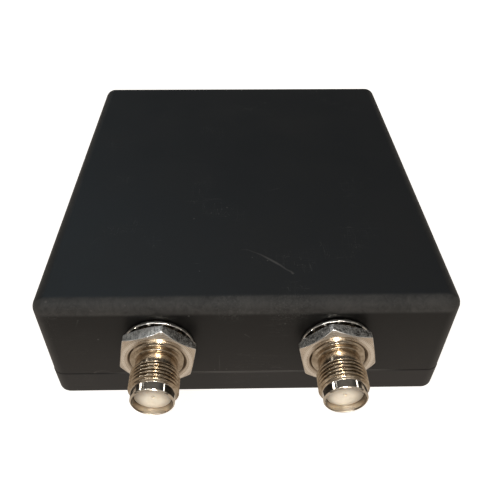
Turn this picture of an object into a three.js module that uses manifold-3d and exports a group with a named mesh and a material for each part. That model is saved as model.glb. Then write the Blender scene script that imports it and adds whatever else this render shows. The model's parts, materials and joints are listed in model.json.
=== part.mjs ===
// Cellular signal booster: a two-part moulded case with two threaded coaxial jacks on its front.
// Units are millimetres. X is to the right, Y to the back, Z up. The origin is the centre of the
// base's underside, so the front wall's outer face is at y = -CASE_D / 2.
import * as THREE from 'three';
import { mergeVertices } from 'three/addons/utils/BufferGeometryUtils.js';
import Module from 'manifold-3d';

// ---------------------------------------------------------------- shared dimensions
const CASE_W = 97;            // case width, X
const CASE_D = 110;           // case depth, Y
const CASE_H = 31.5;          // case height, Z
const CORNER_R = 3.5;         // vertical corner radius
const WALL = 2.2;             // housing wall
const ROOF_Z = CASE_H - 2.4;  // underside of the housing's roof
const FLOOR = 2.4;            // base floor
const PARTING_Z = 7.4;        // middle of the parting gap
const PARTING_GAP = 0.2;      // gap between base and housing
const FRONT_Y = -CASE_D / 2;
const BACK_Y = CASE_D / 2;

const JACK_X = 20.65;         // jack axis, left and right of the middle
const JACK_Z = 18.8;          // jack axis height
const FLAT_H = 5.55;          // jack axis to its anti-rotation flat

const SOCKET_X = 14;          // power socket axis
const SOCKET_Z = 14;
const SOCKET_NOSE_R = 4.4;
const LIGHT_X = -14;          // status light, in plan
const LIGHT_Z = 13.6;         // light pipe axis height
const LIGHT_PIPE_R = 1.5;
const REAR_CLEAR = 0.3;       // rear openings, around the socket's nose and the light pipe

const SCREW_X = 40;           // base screws
const SCREW_Y = 46.5;
const SCREW_HOLE_R = 1.75;
const STANDOFF_X = 37;        // circuit board screws
const STANDOFF_Y = 26;

const FIT = 0.05;             // gap between stacked parts above the board
const PCB_Z = 19.5;           // component side, facing down
const PCB_T = 1.6;
const UNDER_Z = PCB_Z - 0.06; // top of the parts hung from the board, with a gap for the solder
const ABOVE_Z = PCB_Z + PCB_T + FIT;
const PAD_T = 1.3;
const SPREADER_Z = ABOVE_Z + PAD_T + FIT;
const SPREADER_T = 2.2;
const AMP_Y = -12;            // amplifier chips and thermal pad

const SIDES = [['left', -1], ['right', 1]];
const CHANNELS = [['uplink', -16.5], ['downlink', 16.5]];  // name, x

// Four places mirrored about the middle.
const atCorners = (x, y) => [
  ['front_left', -1, -1], ['front_right', 1, -1], ['rear_left', -1, 1], ['rear_right', 1, 1],
].map(([where, sideX, sideY]) => ({ where, sideX, sideY, x: sideX * x, y: sideY * y }));
const SCREWS = atCorners(SCREW_X, SCREW_Y);
const STANDOFFS = atCorners(STANDOFF_X, STANDOFF_Y);

// ---------------------------------------------------------------- finishes
const FINISH = {
  housing: { color: 0x1c1d1f, roughness: 0.62, metalness: 0 },
  base: { color: 0x242322, roughness: 0.6, metalness: 0 },
  baseWasher: { color: 0xb9b7b0, roughness: 0.4, metalness: 0.9 },
  baseScrew: { color: 0x9a9892, roughness: 0.35, metalness: 0.95 },
  jackBody: { color: 0xb5aa98, roughness: 0.28, metalness: 1 },
  insulator: { color: 0xe9e2d2, roughness: 0.55, metalness: 0 },
  contact: { color: 0xd9a441, roughness: 0.25, metalness: 1 },
  oRing: { color: 0x161616, roughness: 0.8, metalness: 0 },
  lockWasher: { color: 0xa9a196, roughness: 0.35, metalness: 1 },
  nut: { color: 0xaca08e, roughness: 0.32, metalness: 1 },
  board: { color: 0x1d5a33, roughness: 0.45, metalness: 0 },
  boardScrew: { color: 0xa8a6a0, roughness: 0.35, metalness: 0.95 },
  shieldFrame: { color: 0xb8b8b4, roughness: 0.3, metalness: 1 },
  shieldLid: { color: 0xc2c2be, roughness: 0.25, metalness: 1 },
  chip: { color: 0x17181a, roughness: 0.5, metalness: 0 },
  duplexer: { color: 0xd8d3c6, roughness: 0.4, metalness: 0.1 },
  inductor: { color: 0x2b2b2d, roughness: 0.6, metalness: 0.1 },
  capacitor: { color: 0x8f9498, roughness: 0.35, metalness: 0.8 },
  socket: { color: 0x141415, roughness: 0.5, metalness: 0 },
  socketPin: { color: 0xc9c9c6, roughness: 0.25, metalness: 1 },
  led: { color: 0x9fdfae, roughness: 0.2, metalness: 0 },
  lightPipe: { color: 0xdfe8e4, roughness: 0.1, metalness: 0 },
  thermalPad: { color: 0x8ea3b5, roughness: 0.9, metalness: 0 },
  spreader: { color: 0xbfc2c4, roughness: 0.45, metalness: 1 },
};

// ---------------------------------------------------------------- helpers
const wasm = await Module();
wasm.setup();

// Whether a closed mesh encloses a negative volume, so that its faces point inwards.
function isInsideOut(positions, indices) {
  const vertex = (i) => new THREE.Vector3().fromArray(positions, 3 * indices[i]);
  let volume = 0;
  for (let i = 0; i < indices.length; i += 3) {
    volume += vertex(i).dot(vertex(i + 1).cross(vertex(i + 2)));
  }
  return volume < 0;
}

// A closed three.js geometry as a manifold solid, facing outwards.
function solid(geometry) {
  geometry.deleteAttribute('normal');
  geometry.deleteAttribute('uv');
  const merged = mergeVertices(geometry, 1e-4);
  const positions = Float32Array.from(merged.attributes.position.array);
  const source = merged.index.array;
  const indices = [];
  for (let i = 0; i < source.length; i += 3) {
    const [first, second, third] = source.slice(i, i + 3);
    // merging leaves triangles with no area where a lathe meets its axis
    if (first !== second && second !== third && first !== third) {
      indices.push(first, second, third);
    }
  }
  if (isInsideOut(positions, indices)) {
    for (let i = 0; i < indices.length; i += 3) {
      [indices[i + 1], indices[i + 2]] = [indices[i + 2], indices[i + 1]];
    }
  }
  return new wasm.Manifold(new wasm.Mesh({
    numProp: 3, vertProperties: positions, triVerts: Uint32Array.from(indices) }));
}

function geometryOf(body) {
  const mesh = body.getMesh();
  const geometry = new THREE.BufferGeometry();
  const positions = Float32Array.from(mesh.vertProperties);
  geometry.setAttribute('position', new THREE.BufferAttribute(positions, 3));
  geometry.setIndex(new THREE.BufferAttribute(Uint32Array.from(mesh.triVerts), 1));
  geometry.computeVertexNormals();
  return geometry;
}

const solidAt = (geometry, x, y, z) => solid(geometry.translate(x, y, z));
const join = (...bodies) => bodies.reduce((whole, part) => whole.add(part));
const cut = (body, ...tools) => tools.reduce((rest, tool) => rest.subtract(tool), body);
const vectors = (points) => points.map(([x, y]) => new THREE.Vector2(x, y));

// Box from its [width, depth, height] and its centre.
const box = (size, centre) => solidAt(new THREE.BoxGeometry(...size), ...centre);

// Upright cylinder.
function post(radius, bottom, top, x, y, segments) {
  const geometry = new THREE.CylinderGeometry(radius, radius, top - bottom, segments);
  return solidAt(geometry.rotateX(Math.PI / 2), x, y, (bottom + top) / 2);
}

// Cylinder along Y.
function rod(radius, front, back, x, z, segments) {
  const geometry = new THREE.CylinderGeometry(radius, radius, back - front, segments);
  return solidAt(geometry, x, (front + back) / 2, z);
}

// Turned solid on an axis along Y. Points are [radius, distance back from y].
const turnedBack = (points, x, y, z, segments) =>
  solidAt(new THREE.LatheGeometry(vectors(points), segments), x, y, z);

// Turned solid on a jack's axis. Points are [radius, distance out from the front wall].
const turned = (points, x, segments) =>
  turnedBack(points.map(([radius, out]) => [radius, -out]), x, FRONT_Y, JACK_Z, segments);

// Turned solid on an upright axis. Points are [radius, z].
const turnedUp = (points, x, y, segments) =>
  solidAt(new THREE.LatheGeometry(vectors(points), segments).rotateX(Math.PI / 2), x, y, 0);

// Closed profile of a flat ring, to be turned.
const flatRing = (inner, outer, start, end) =>
  [[inner, start], [outer, start], [outer, end], [inner, end], [inner, start]];

// The case's rounded outline, drawn in by an inset, as a closed ring of points.
function caseRing(inset, radius, z, steps) {
  const points = [];
  const quarters = [[1, 1, 0], [-1, 1, 90], [-1, -1, 180], [1, -1, 270]];
  for (const [sideX, sideY, start] of quarters) {
    const centreX = sideX * (CASE_W / 2 - inset - radius);
    const centreY = sideY * (CASE_D / 2 - inset - radius);
    for (let i = 0; i <= steps; i++) {
      const angle = THREE.MathUtils.degToRad(start + 90 * i / steps);
      points.push([centreX + radius * Math.cos(angle), centreY + radius * Math.sin(angle), z]);
    }
  }
  return points;
}

// A stack of rings with flat ends, as one closed solid.
function loft(rings) {
  const count = rings[0].length;
  const indices = [];
  for (let k = 0; k + 1 < rings.length; k++) {
    const lower = k * count;
    const upper = lower + count;
    for (let i = 0; i < count; i++) {
      const j = (i + 1) % count;
      indices.push(lower + i, lower + j, upper + j, lower + i, upper + j, upper + i);
    }
  }
  const top = (rings.length - 1) * count;
  for (let i = 1; i + 1 < count; i++) {
    indices.push(0, i + 1, i);
    indices.push(top, top + i, top + i + 1);
  }
  const geometry = new THREE.BufferGeometry();
  const positions = new Float32Array(rings.flat(2));
  geometry.setAttribute('position', new THREE.BufferAttribute(positions, 3));
  geometry.setIndex(indices);
  return solid(geometry);
}

const caseSlab = (inset, radius, bottom, top) =>
  loft([caseRing(inset, radius, bottom, 3), caseRing(inset, radius, top, 3)]);

// Cuts a cross-shaped recess into a screw head.
const crossRecess = (screw, length, width, height, x, y, z) => cut(screw,
  box([length, width, height], [x, y, z]), box([width, length, height], [x, y, z]));

const group = new THREE.Group();
group.name = 'cellular_signal_booster';

function add(name, body, finish) {
  const mesh = new THREE.Mesh(geometryOf(body), new THREE.MeshStandardMaterial(finish));
  mesh.name = name;
  group.add(mesh);
}

// ---------------------------------------------------------------- top housing
const HOUSING_Z = PARTING_Z + PARTING_GAP / 2;
const TOP_R = 3.3;               // top edge fillet
const TOP_STEPS = 4;
const CAVITY_R = CORNER_R - 1.7;
const CAVITY_BEVEL = 0.9;        // between inner wall and roof
const ROOF_BITE = 0.5;           // bosses and webs run this far into the roof
const WALL_BITE = 0.3;           // webs run this far into the wall
const BOSS_R = 3.7;
const BOSS_Z = 6.3;              // lower end of the screw bosses
const WEB_T = 1.6;
const WEB_Z = 10;                // lower edge of the webs
const ROOF_RIB_T = 1.4;
const ROOF_RIB_H = 1.8;
const JACK_HOLE_R = 6.45;
const FLAT_CLEAR = 0.25;         // jack's flat to the hole's flat

function housingShell() {
  const rings = [caseRing(0, CORNER_R, HOUSING_Z, 5)];
  for (let i = 0; i <= TOP_STEPS; i++) {
    const angle = THREE.MathUtils.degToRad(90 * i / TOP_STEPS);
    const inset = TOP_R * (1 - Math.cos(angle));
    const z = CASE_H - TOP_R + TOP_R * Math.sin(angle);
    rings.push(caseRing(inset, CORNER_R - inset, z, 5));
  }
  return cut(loft(rings), loft([
    caseRing(WALL, CAVITY_R, HOUSING_Z - 1, 3),
    caseRing(WALL, CAVITY_R, ROOF_Z - CAVITY_BEVEL, 3),
    caseRing(WALL + CAVITY_BEVEL, CAVITY_R - CAVITY_BEVEL, ROOF_Z, 3)]));
}

// Boss for a base screw, webbed to the side wall and to the front or rear wall.
function screwBoss({ sideX, sideY, x, y }) {
  const top = ROOF_Z + ROOF_BITE;
  const wallX = CASE_W / 2 - WALL + WALL_BITE;
  const wallY = CASE_D / 2 - WALL + WALL_BITE;
  const height = top - WEB_Z;
  const z = (top + WEB_Z) / 2;
  return [post(BOSS_R, BOSS_Z, top, x, y, 12),
    box([wallX - SCREW_X, WEB_T, height], [sideX * (wallX + SCREW_X) / 2, y, z]),
    box([WEB_T, wallY - SCREW_Y, height], [x, sideY * (wallY + SCREW_Y) / 2, z])];
}

// Stepped standoff: the wide part meets the heat spreader, the narrow one the circuit board.
const standoff = ({ x, y }) => [
  post(4.4, SPREADER_Z + SPREADER_T + FIT, ROOF_Z + ROOF_BITE, x, y, 12),
  post(3.0, ABOVE_Z, 25.5, x, y, 12)];

// Round jack hole with an anti-rotation flat at the bottom.
function jackHole(x) {
  const hole = turned([[0, -4], [JACK_HOLE_R, -4], [JACK_HOLE_R, 1], [0, 1]], x, 28);
  return cut(hole, box([20, 12, 4], [x, FRONT_Y, JACK_Z - FLAT_H - FLAT_CLEAR - 2]));
}

function topHousing() {
  const ribZ = ROOF_Z - 0.6;
  const body = join(housingShell(), ...SCREWS.flatMap(screwBoss), ...STANDOFFS.flatMap(standoff),
    // crossed stiffening ribs under the roof, between the standoffs
    box([ROOF_RIB_T, 46, ROOF_RIB_H], [0, 0, ribZ]),
    box([66, ROOF_RIB_T, ROOF_RIB_H], [0, 0, ribZ]));
  return cut(body,
    ...SCREWS.map(({ x, y }) => post(SCREW_HOLE_R, 5, 16.5, x, y, 12)),
    ...STANDOFFS.map(({ x, y }) => post(1.25, 20, 27.2, x, y, 10)),
    ...SIDES.map(([, side]) => jackHole(side * JACK_X)),
    // rear openings: power socket and light pipe
    rod(SOCKET_NOSE_R + REAR_CLEAR, BACK_Y - 4, BACK_Y + 4, SOCKET_X, SOCKET_Z, 20),
    rod(LIGHT_PIPE_R + REAR_CLEAR, BACK_Y - 4, BACK_Y + 4, LIGHT_X, LIGHT_Z, 14));
}

// ---------------------------------------------------------------- base cover
const BASE_TOP = PARTING_Z - PARTING_GAP / 2;
const BASE_CHAMFER = 0.6;          // bottom edge
const LIP_OUTER = WALL + 0.25;     // locating lip's outer face, in from the case's side
const LIP_INNER = LIP_OUTER + 1.0;
const LIP_TOP = BASE_TOP + 2.6;
const FLOOR_RIB_Y = 24;

// Screw counterbore from below, screw hole, and two slots in the lip in line with the webs.
const baseScrewCuts = ({ sideX, sideY, x, y }) => [
  post(3.5, -1, 3.1, x, y, 16),
  post(SCREW_HOLE_R, 0, 8, x, y, 12),
  box([2.2, 6, 9], [x, sideY * (CASE_D / 2 - LIP_INNER + 0.6), 12.4]),
  box([6, 2.2, 9], [sideX * (CASE_W / 2 - LIP_INNER + 0.6), y, 12.4])];

function baseCover() {
  let body = loft([
    caseRing(BASE_CHAMFER, CORNER_R - BASE_CHAMFER, 0, 5),
    caseRing(0, CORNER_R, BASE_CHAMFER, 5),
    caseRing(0, CORNER_R, BASE_TOP, 5)]);
  body = join(body, caseSlab(LIP_OUTER, 1.6, FLOOR, LIP_TOP));
  body = cut(body, caseSlab(LIP_INNER, 0.8, FLOOR, LIP_TOP + 1));
  body = join(body, ...SCREWS.map(({ x, y }) => post(4.6, FLOOR - 0.5, 6.0, x, y, 12)));
  // lip notch under the power socket
  body = cut(body, box([10, 3.6, 5], [SOCKET_X, BACK_Y - WALL - 0.6, BASE_TOP + 2.5 - 0.2]));
  // stiffening ribs on the floor
  const ribs = [-FLOOR_RIB_Y, FLOOR_RIB_Y].map((y) => box([60, 1.4, 1.6], [0, y, FLOOR + 0.6]));
  body = join(body, ...ribs);
  return cut(body, ...SCREWS.flatMap(baseScrewCuts));
}

// ---------------------------------------------------------------- base screws and washers
const SHANK_R = 1.45;
const HEAD_R = 2.8;
const HEAD_TOP = 2.3;

const baseWasher = ({ x, y }) => turnedUp(flatRing(1.7, 3.1, 2.4, 3.0), x, y, 12);

function baseScrew({ x, y }) {
  const screw = turnedUp([[0, 0.45], [1.9, 0.45], [HEAD_R, 1.15], [HEAD_R, HEAD_TOP],
    [SHANK_R, HEAD_TOP], [SHANK_R, 13.2], [0.7, 14.4], [0, 14.4]], x, y, 12);
  return crossRecess(screw, 3.0, 0.6, 2.4, x, y, 0.5);
}

// ---------------------------------------------------------------- jacks
// Distances along a jack are out from the front wall; negative ones are inside the case.
const TAIL_END = -10.2;       // inner end of body and insulator
const TAIL_BORE_R = 3.0;
const TAIL_R = 4.2;
const FLANGE_R = 8.7;
const FLANGE_BACK = -5.4;
const FLANGE_FACE = -2.35;
const GROOVE_R = [6.85, 8.15];
const GROOVE_FLOOR = FLANGE_FACE - 1;
const MOUNT_R = 6.2;          // mounting thread, 1/2-28 class, modelled plain
const MOUNT_END = 5.5;
const FLAT_START = -2.3;      // inner end of the anti-rotation flat
const NECK_R = 4.8;           // smooth neck behind the coupling thread
const THREAD_R = 5.555;       // coupling thread, 7/16-28, modelled as annular ridges
const THREAD_ROOT_R = 5.05;
const THREAD_START = 9.0;
const THREAD_END = 14.0;
const THREAD_RIDGES = 5;
const NOSE_R = 4.83;
const NOSE_END = 16.3;
const MOUTH_R = 4.12;
const MOUTH_FLOOR = 7.2;
const INSULATOR_R = 3.82;
const INSULATOR_SHOULDER = 7.45;
const INSULATOR_END = 14.8;
const LEG = { width: 1.2, length: 7.2, height: 1.1, x: 3.65, start: 9.8 };  // start is inwards

function jackBody(x) {
  const [grooveInner, grooveOuter] = GROOVE_R;
  const profile = [
    [TAIL_BORE_R, TAIL_END], [TAIL_R, TAIL_END], [TAIL_R, FLANGE_BACK],
    [FLANGE_R, FLANGE_BACK], [FLANGE_R, FLANGE_FACE],
    [grooveOuter, FLANGE_FACE], [grooveOuter, GROOVE_FLOOR],
    [grooveInner, GROOVE_FLOOR], [grooveInner, FLANGE_FACE],
    [MOUNT_R, FLANGE_FACE], [MOUNT_R, MOUNT_END - 0.3], [MOUNT_R - 0.3, MOUNT_END],
    [NECK_R, MOUNT_END], [NECK_R, THREAD_START - 0.25], [THREAD_ROOT_R, THREAD_START]];
  const step = (THREAD_END - THREAD_START) / THREAD_RIDGES;
  for (let i = 0; i < THREAD_RIDGES; i++) {
    const start = THREAD_START + i * step;
    profile.push([THREAD_R, start + step * 0.5], [THREAD_ROOT_R, start + step]);
  }
  profile.push([NOSE_R, THREAD_END + 0.3], [NOSE_R, NOSE_END - 0.25], [NOSE_R - 0.25, NOSE_END],
    [MOUTH_R, NOSE_END], [MOUTH_R, MOUTH_FLOOR], [TAIL_BORE_R, MOUTH_FLOOR],
    [TAIL_BORE_R, TAIL_END]);
  // anti-rotation flat on the mounting thread
  const body = cut(turned(profile, x, 24),
    box([20, MOUNT_END - FLAT_START + 0.02, 4],
      [x, FRONT_Y - (MOUNT_END + FLAT_START) / 2, JACK_Z - FLAT_H - 2]));
  // two ground legs soldered to the board's edge
  return join(body, ...[-1, 1].map((side) => box([LEG.width, LEG.length, LEG.height],
    [x + side * LEG.x, FRONT_Y + LEG.start + LEG.length / 2, UNDER_Z - LEG.height / 2])));
}

const jackInsulator = (x) => turned([
  [1.25, TAIL_END], [2.75, TAIL_END], [2.75, INSULATOR_SHOULDER],
  [INSULATOR_R, INSULATOR_SHOULDER], [INSULATOR_R, INSULATOR_END - 0.3],
  [INSULATOR_R - 0.3, INSULATOR_END], [0.62, INSULATOR_END], [0.62, INSULATOR_END - 0.7],
  [1.25, INSULATOR_END - 0.7], [1.25, TAIL_END]], x, 18);

// Centre contact: thin pin inside the case, hollow outer end.
const jackContact = (x) => turned([[0, -14.6], [0.6, -14.6], [0.6, -9.6], [1.05, -9.6],
  [1.05, 13.6], [0.68, 13.6], [0.68, 9.4], [0, 9.4]], x, 12);

// O-ring in the flange's groove, with a hexagonal section.
function oRing(x) {
  const middleR = (GROOVE_R[0] + GROOVE_R[1]) / 2;
  const section = [];
  for (let i = 0; i < 6; i++) {
    const angle = 2 * Math.PI * i / 6;
    section.push([middleR + 0.46 * Math.cos(angle), -2.82 + 0.46 * Math.sin(angle)]);
  }
  section.push(section[0]);
  return turned(section, x, 20);
}

const RIM_R = [7.45, 8.3];
const RIM_SPAN = [0.55, 1.6];   // rim's faces, out from the wall
const TEETH = 12;
const TOOTH_SIZE = [1.7, 0.75, 1.15];
const TOOTH_R = 7.13;           // tooth's middle from the axis
const TOOTH_TILT = 38;          // degrees
const TOOTH_START = 0.13;       // first tooth's place around the axis, radians

// Lock washer: a plain rim, and inward teeth each twisted about its own radius.
function lockWasher(x) {
  const y = FRONT_Y - (RIM_SPAN[0] + RIM_SPAN[1]) / 2;
  let washer = turned(flatRing(...RIM_R, ...RIM_SPAN), x, 30);
  for (let i = 0; i < TEETH; i++) {
    const tooth = new THREE.BoxGeometry(...TOOTH_SIZE);
    tooth.rotateZ(THREE.MathUtils.degToRad(TOOTH_TILT));
    tooth.translate(0, 0, TOOTH_R);
    tooth.rotateY(2 * Math.PI * i / TEETH + TOOTH_START);
    washer = join(washer, solidAt(tooth, x, y, JACK_Z));
  }
  return washer;
}

const NUT_AF = 16.5;            // across flats
const NUT_T = 3.05;
const NUT_START = 2.15;         // nut's back face
const NUT_FACE = NUT_START + NUT_T;
const NUT_FACE_R = 7.9;         // flat circle on its outer face
const NUT_BACK_R = 8.3;         // flat circle on its back face
const NUT_CONE_R = 11;          // beyond the hexagon's corners
const NUT_BORE_R = 6.42;
const NUT_ANGLE = { left: 79, right: 103 };  // first corner, degrees from +X towards +Z

// Hex nut: hexagonal prism met by a cone on each face.
function hexNut(side, x) {
  const cornerR = NUT_AF / 2 / Math.cos(Math.PI / 6);
  const corners = [];
  for (let i = 0; i < 6; i++) {
    const angle = THREE.MathUtils.degToRad(NUT_ANGLE[side] + 60 * i);
    corners.push([cornerR * Math.cos(angle), cornerR * Math.sin(angle)]);
  }
  const hexagon = new THREE.Shape(vectors(corners));
  const prism = new THREE.ExtrudeGeometry(hexagon, { depth: NUT_T, bevelEnabled: false });
  prism.rotateX(Math.PI / 2);     // shape's Y becomes Z, depth runs along -Y
  const cones = turned([[0, NUT_START], [NUT_BACK_R, NUT_START], [NUT_CONE_R, NUT_START + 1.09],
    [NUT_CONE_R, NUT_FACE - 1.79], [NUT_FACE_R, NUT_FACE], [0, NUT_FACE]], x, 36);
  const bore = turned([[0, NUT_START - 1], [NUT_BORE_R, NUT_START - 1],
    [NUT_BORE_R, NUT_FACE - 0.35], [NUT_BORE_R + 0.5, NUT_FACE + 0.15],
    [0, NUT_FACE + 0.15]], x, 24);
  return cut(solidAt(prism, x, FRONT_Y - NUT_START, JACK_Z).intersect(cones), bore);
}

// ---------------------------------------------------------------- circuit board
const PCB_X = 42.5;           // half width
const PCB_FRONT = -44.3;
const PCB_BACK = 51.2;
const NOTCH_X = 35.2;         // corner notches, from the middle
const NOTCH_Y = 41.6;

function mainBoard() {
  const outline = new THREE.Shape(vectors([
    [-NOTCH_X, PCB_FRONT], [NOTCH_X, PCB_FRONT], [NOTCH_X, -NOTCH_Y], [PCB_X, -NOTCH_Y],
    [PCB_X, NOTCH_Y], [NOTCH_X, NOTCH_Y], [NOTCH_X, PCB_BACK], [-NOTCH_X, PCB_BACK],
    [-NOTCH_X, NOTCH_Y], [-PCB_X, NOTCH_Y], [-PCB_X, -NOTCH_Y], [-NOTCH_X, -NOTCH_Y]]));
  for (const { x, y } of STANDOFFS) {
    outline.holes.push(new THREE.Path().absarc(x, y, 1.45, 0, 2 * Math.PI, true));
  }
  const options = { depth: PCB_T, bevelEnabled: false, curveSegments: 5 };
  return solidAt(new THREE.ExtrudeGeometry(outline, options), 0, 0, PCB_Z);
}

function boardScrew({ x, y }) {
  const headTop = PCB_Z - 0.08;
  const screw = turnedUp([[0, 17.5], [1.5, 17.5], [2.4, 18.0], [2.4, headTop],
    [1.05, headTop], [1.05, 25.6], [0.4, 26.4], [0, 26.4]], x, y, 10);
  return crossRecess(screw, 2.6, 0.5, 1.6, x, y, 17.5);
}

// ---------------------------------------------------------------- parts under the board
// Block hung from the board, with its lower edges bevelled.
function chip(width, depth, height, x, y) {
  const bevel = 0.25;
  const outline = (inset, z) => [[-1, -1], [1, -1], [1, 1], [-1, 1]].map(([sideX, sideY]) =>
    [x + sideX * (width / 2 - inset), y + sideY * (depth / 2 - inset), z]);
  return loft([outline(bevel, UNDER_Z - height), outline(0, UNDER_Z - height + bevel),
    outline(0, UNDER_Z)]);
}

const CAN = { width: 27, depth: 34, height: 4.6, y: -7, sheet: 0.35, lidGap: 0.15 };

function shieldFrame(x) {
  const { width, depth, height, y, sheet } = CAN;
  const centre = [x, y, UNDER_Z - height / 2];
  return cut(box([width, depth, height], centre),
    box([width - 2 * sheet, depth - 2 * sheet, height + 1], centre));
}

// Lid over the frame, open towards the board, with two rows of three holes.
function shieldLid(x) {
  const { width, depth, y, sheet, lidGap } = CAN;
  const top = UNDER_Z - 1.0;
  const bottom = UNDER_Z - CAN.height - 0.1 - sheet;
  const height = top - bottom;
  const z = (top + bottom) / 2;
  const outer = 2 * (lidGap + sheet);
  let lid = cut(box([width + outer, depth + outer, height], [x, y, z]),
    box([width + 2 * lidGap, depth + 2 * lidGap, height], [x, y, z + sheet]));
  for (const i of [-1, 1]) {
    for (const j of [-1, 0, 1]) {
      lid = cut(lid, post(0.9, bottom - 1, bottom + 1, x + i * 6, y + j * 9.5, 8));
    }
  }
  return lid;
}

// Block with three round holes in its underside.
function duplexer(x) {
  const y = -30.5;
  const height = 5.2;
  return cut(box([15, 7.5, height], [x, y, UNDER_Z - height / 2]),
    ...[-1, 0, 1].map((i) => post(1.1, UNDER_Z - 6, UNDER_Z - 3.4, x + i * 4.4, y, 10)));
}

function powerInductor() {
  const x = 24;
  const y = 30;
  return cut(chip(9, 9, 4.4, x, y), post(1.6, UNDER_Z - 5, UNDER_Z - 4.1, x, y, 10));
}

// [radius, depth below the board's parts plane]
const CAPACITOR_PROFILE = [
  [0, 8.2], [2.9, 8.2], [3.15, 7.9], [3.15, 1.6], [2.9, 1.3], [3.15, 1.0],
  [3.15, 0.25], [2.9, 0], [0, 0]];

const capacitor = (x) =>
  turnedUp(CAPACITOR_PROFILE.map(([radius, depth]) => [radius, UNDER_Z - depth]), x, 34, 14);

// ---------------------------------------------------------------- power socket and status light
const SOCKET_BLOCK = { width: 9, height: 10.4, front: 40.2, back: 52.3 };
const SOCKET_END = 54.8;             // nose's outer end, Y
const BORE_FLOOR = SOCKET_END - 9.4;

// Block with a round nose through the rear wall.
function dcSocket() {
  const { width, height, front, back } = SOCKET_BLOCK;
  const block = box([width, back - front, height],
    [SOCKET_X, (front + back) / 2, UNDER_Z - height / 2]);
  const nose = rod(SOCKET_NOSE_R, back - 1, SOCKET_END, SOCKET_X, SOCKET_Z, 20);
  return cut(join(block, nose), rod(3.15, BORE_FLOOR, SOCKET_END + 1, SOCKET_X, SOCKET_Z, 16));
}

const dcSocketPin = () => turnedBack([[0, 0], [1.0, 0], [1.0, 7.4], [0.6, 7.9], [0, 7.9]],
  SOCKET_X, BORE_FLOOR + 0.05, SOCKET_Z, 10);

function statusLed() {
  const y = 47.2;
  const leadH = 1.4;
  const lamp = turnedUp([[0, 12.4], [0.9, 12.6], [1.45, 13.5], [1.5, 14.2], [1.5, 17.6],
    [1.8, 17.6], [1.8, 18.4], [0, 18.4]], LIGHT_X, y, 12);
  return join(lamp, ...[-0.9, 0.9].map((offset) =>
    box([0.5, 0.5, leadH], [LIGHT_X + offset, y, UNDER_Z - leadH / 2])));
}

// Flanged pipe to the rear wall.
const lightPipe = () => turnedBack([[0, 0], [2.4, 0], [2.4, 0.9], [LIGHT_PIPE_R, 0.9],
  [LIGHT_PIPE_R, 5.1], [1.2, 5.4], [0, 5.4]], LIGHT_X, 49.9, LIGHT_Z, 12);

// ---------------------------------------------------------------- heat path above the board
const thermalPad = () => box([54, 16, PAD_T], [0, AMP_Y, ABOVE_Z + PAD_T / 2]);

const heatSpreader = () => cut(
  box([84, 62, SPREADER_T], [0, 0, SPREADER_Z + SPREADER_T / 2]),
  ...STANDOFFS.map(({ x, y }) => post(3.35, 22, 25, x, y, 12)));

// ---------------------------------------------------------------- assembly
add('top_housing', topHousing(), FINISH.housing);
add('base_cover', baseCover(), FINISH.base);
for (const place of SCREWS) {
  add(`base_washer_${place.where}`, baseWasher(place), FINISH.baseWasher);
  add(`base_screw_${place.where}`, baseScrew(place), FINISH.baseScrew);
}
for (const [side, sign] of SIDES) {
  const x = sign * JACK_X;
  add(`tnc_body_${side}`, jackBody(x), FINISH.jackBody);
  add(`tnc_insulator_${side}`, jackInsulator(x), FINISH.insulator);
  add(`tnc_contact_${side}`, jackContact(x), FINISH.contact);
  add(`o_ring_${side}`, oRing(x), FINISH.oRing);
  add(`lock_washer_${side}`, lockWasher(x), FINISH.lockWasher);
  add(`hex_nut_${side}`, hexNut(side, x), FINISH.nut);
}
add('main_pcb', mainBoard(), FINISH.board);
for (const place of STANDOFFS) {
  add(`pcb_screw_${place.where}`, boardScrew(place), FINISH.boardScrew);
}
for (const [name, x] of CHANNELS) {
  add(`shield_frame_${name}`, shieldFrame(x), FINISH.shieldFrame);
  add(`shield_lid_${name}`, shieldLid(x), FINISH.shieldLid);
}
for (const [name, x] of CHANNELS) {
  add(`${name}_amp_chip`, chip(5, 5, 1.1, x, AMP_Y), FINISH.chip);
}
add('duplexer_outside', duplexer(-JACK_X), FINISH.duplexer);
add('duplexer_inside', duplexer(JACK_X), FINISH.duplexer);
add('gain_controller_chip', chip(8, 8, 1.2, 0, 20), FINISH.chip);
add('voltage_regulator', chip(6.5, 6, 2.2, 14, 30), FINISH.chip);
add('power_inductor', powerInductor(), FINISH.inductor);
add('capacitor_1', capacitor(-2), FINISH.capacitor);
add('capacitor_2', capacitor(-11), FINISH.capacitor);
add('dc_socket', dcSocket(), FINISH.socket);
add('dc_socket_pin', dcSocketPin(), FINISH.socketPin);
add('status_led', statusLed(), FINISH.led);
add('light_pipe', lightPipe(), FINISH.lightPipe);
add('thermal_pad', thermalPad(), FINISH.thermalPad);
add('heat_spreader', heatSpreader(), FINISH.spreader);

export default group;
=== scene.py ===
# A flat black plastic box with two threaded nickel jacks on its front wall, a power socket and a
# lamp's light pipe at the back, and a circuit board inside. It lies on z = 0, centred on x and y;
# the front wall faces -Y. Sizes are in mm; meshes are scaled to metres as they are made.
import json
import math
from functools import cached_property

import bmesh
import bpy
import numpy as np
from mathutils import Matrix, Vector

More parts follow.
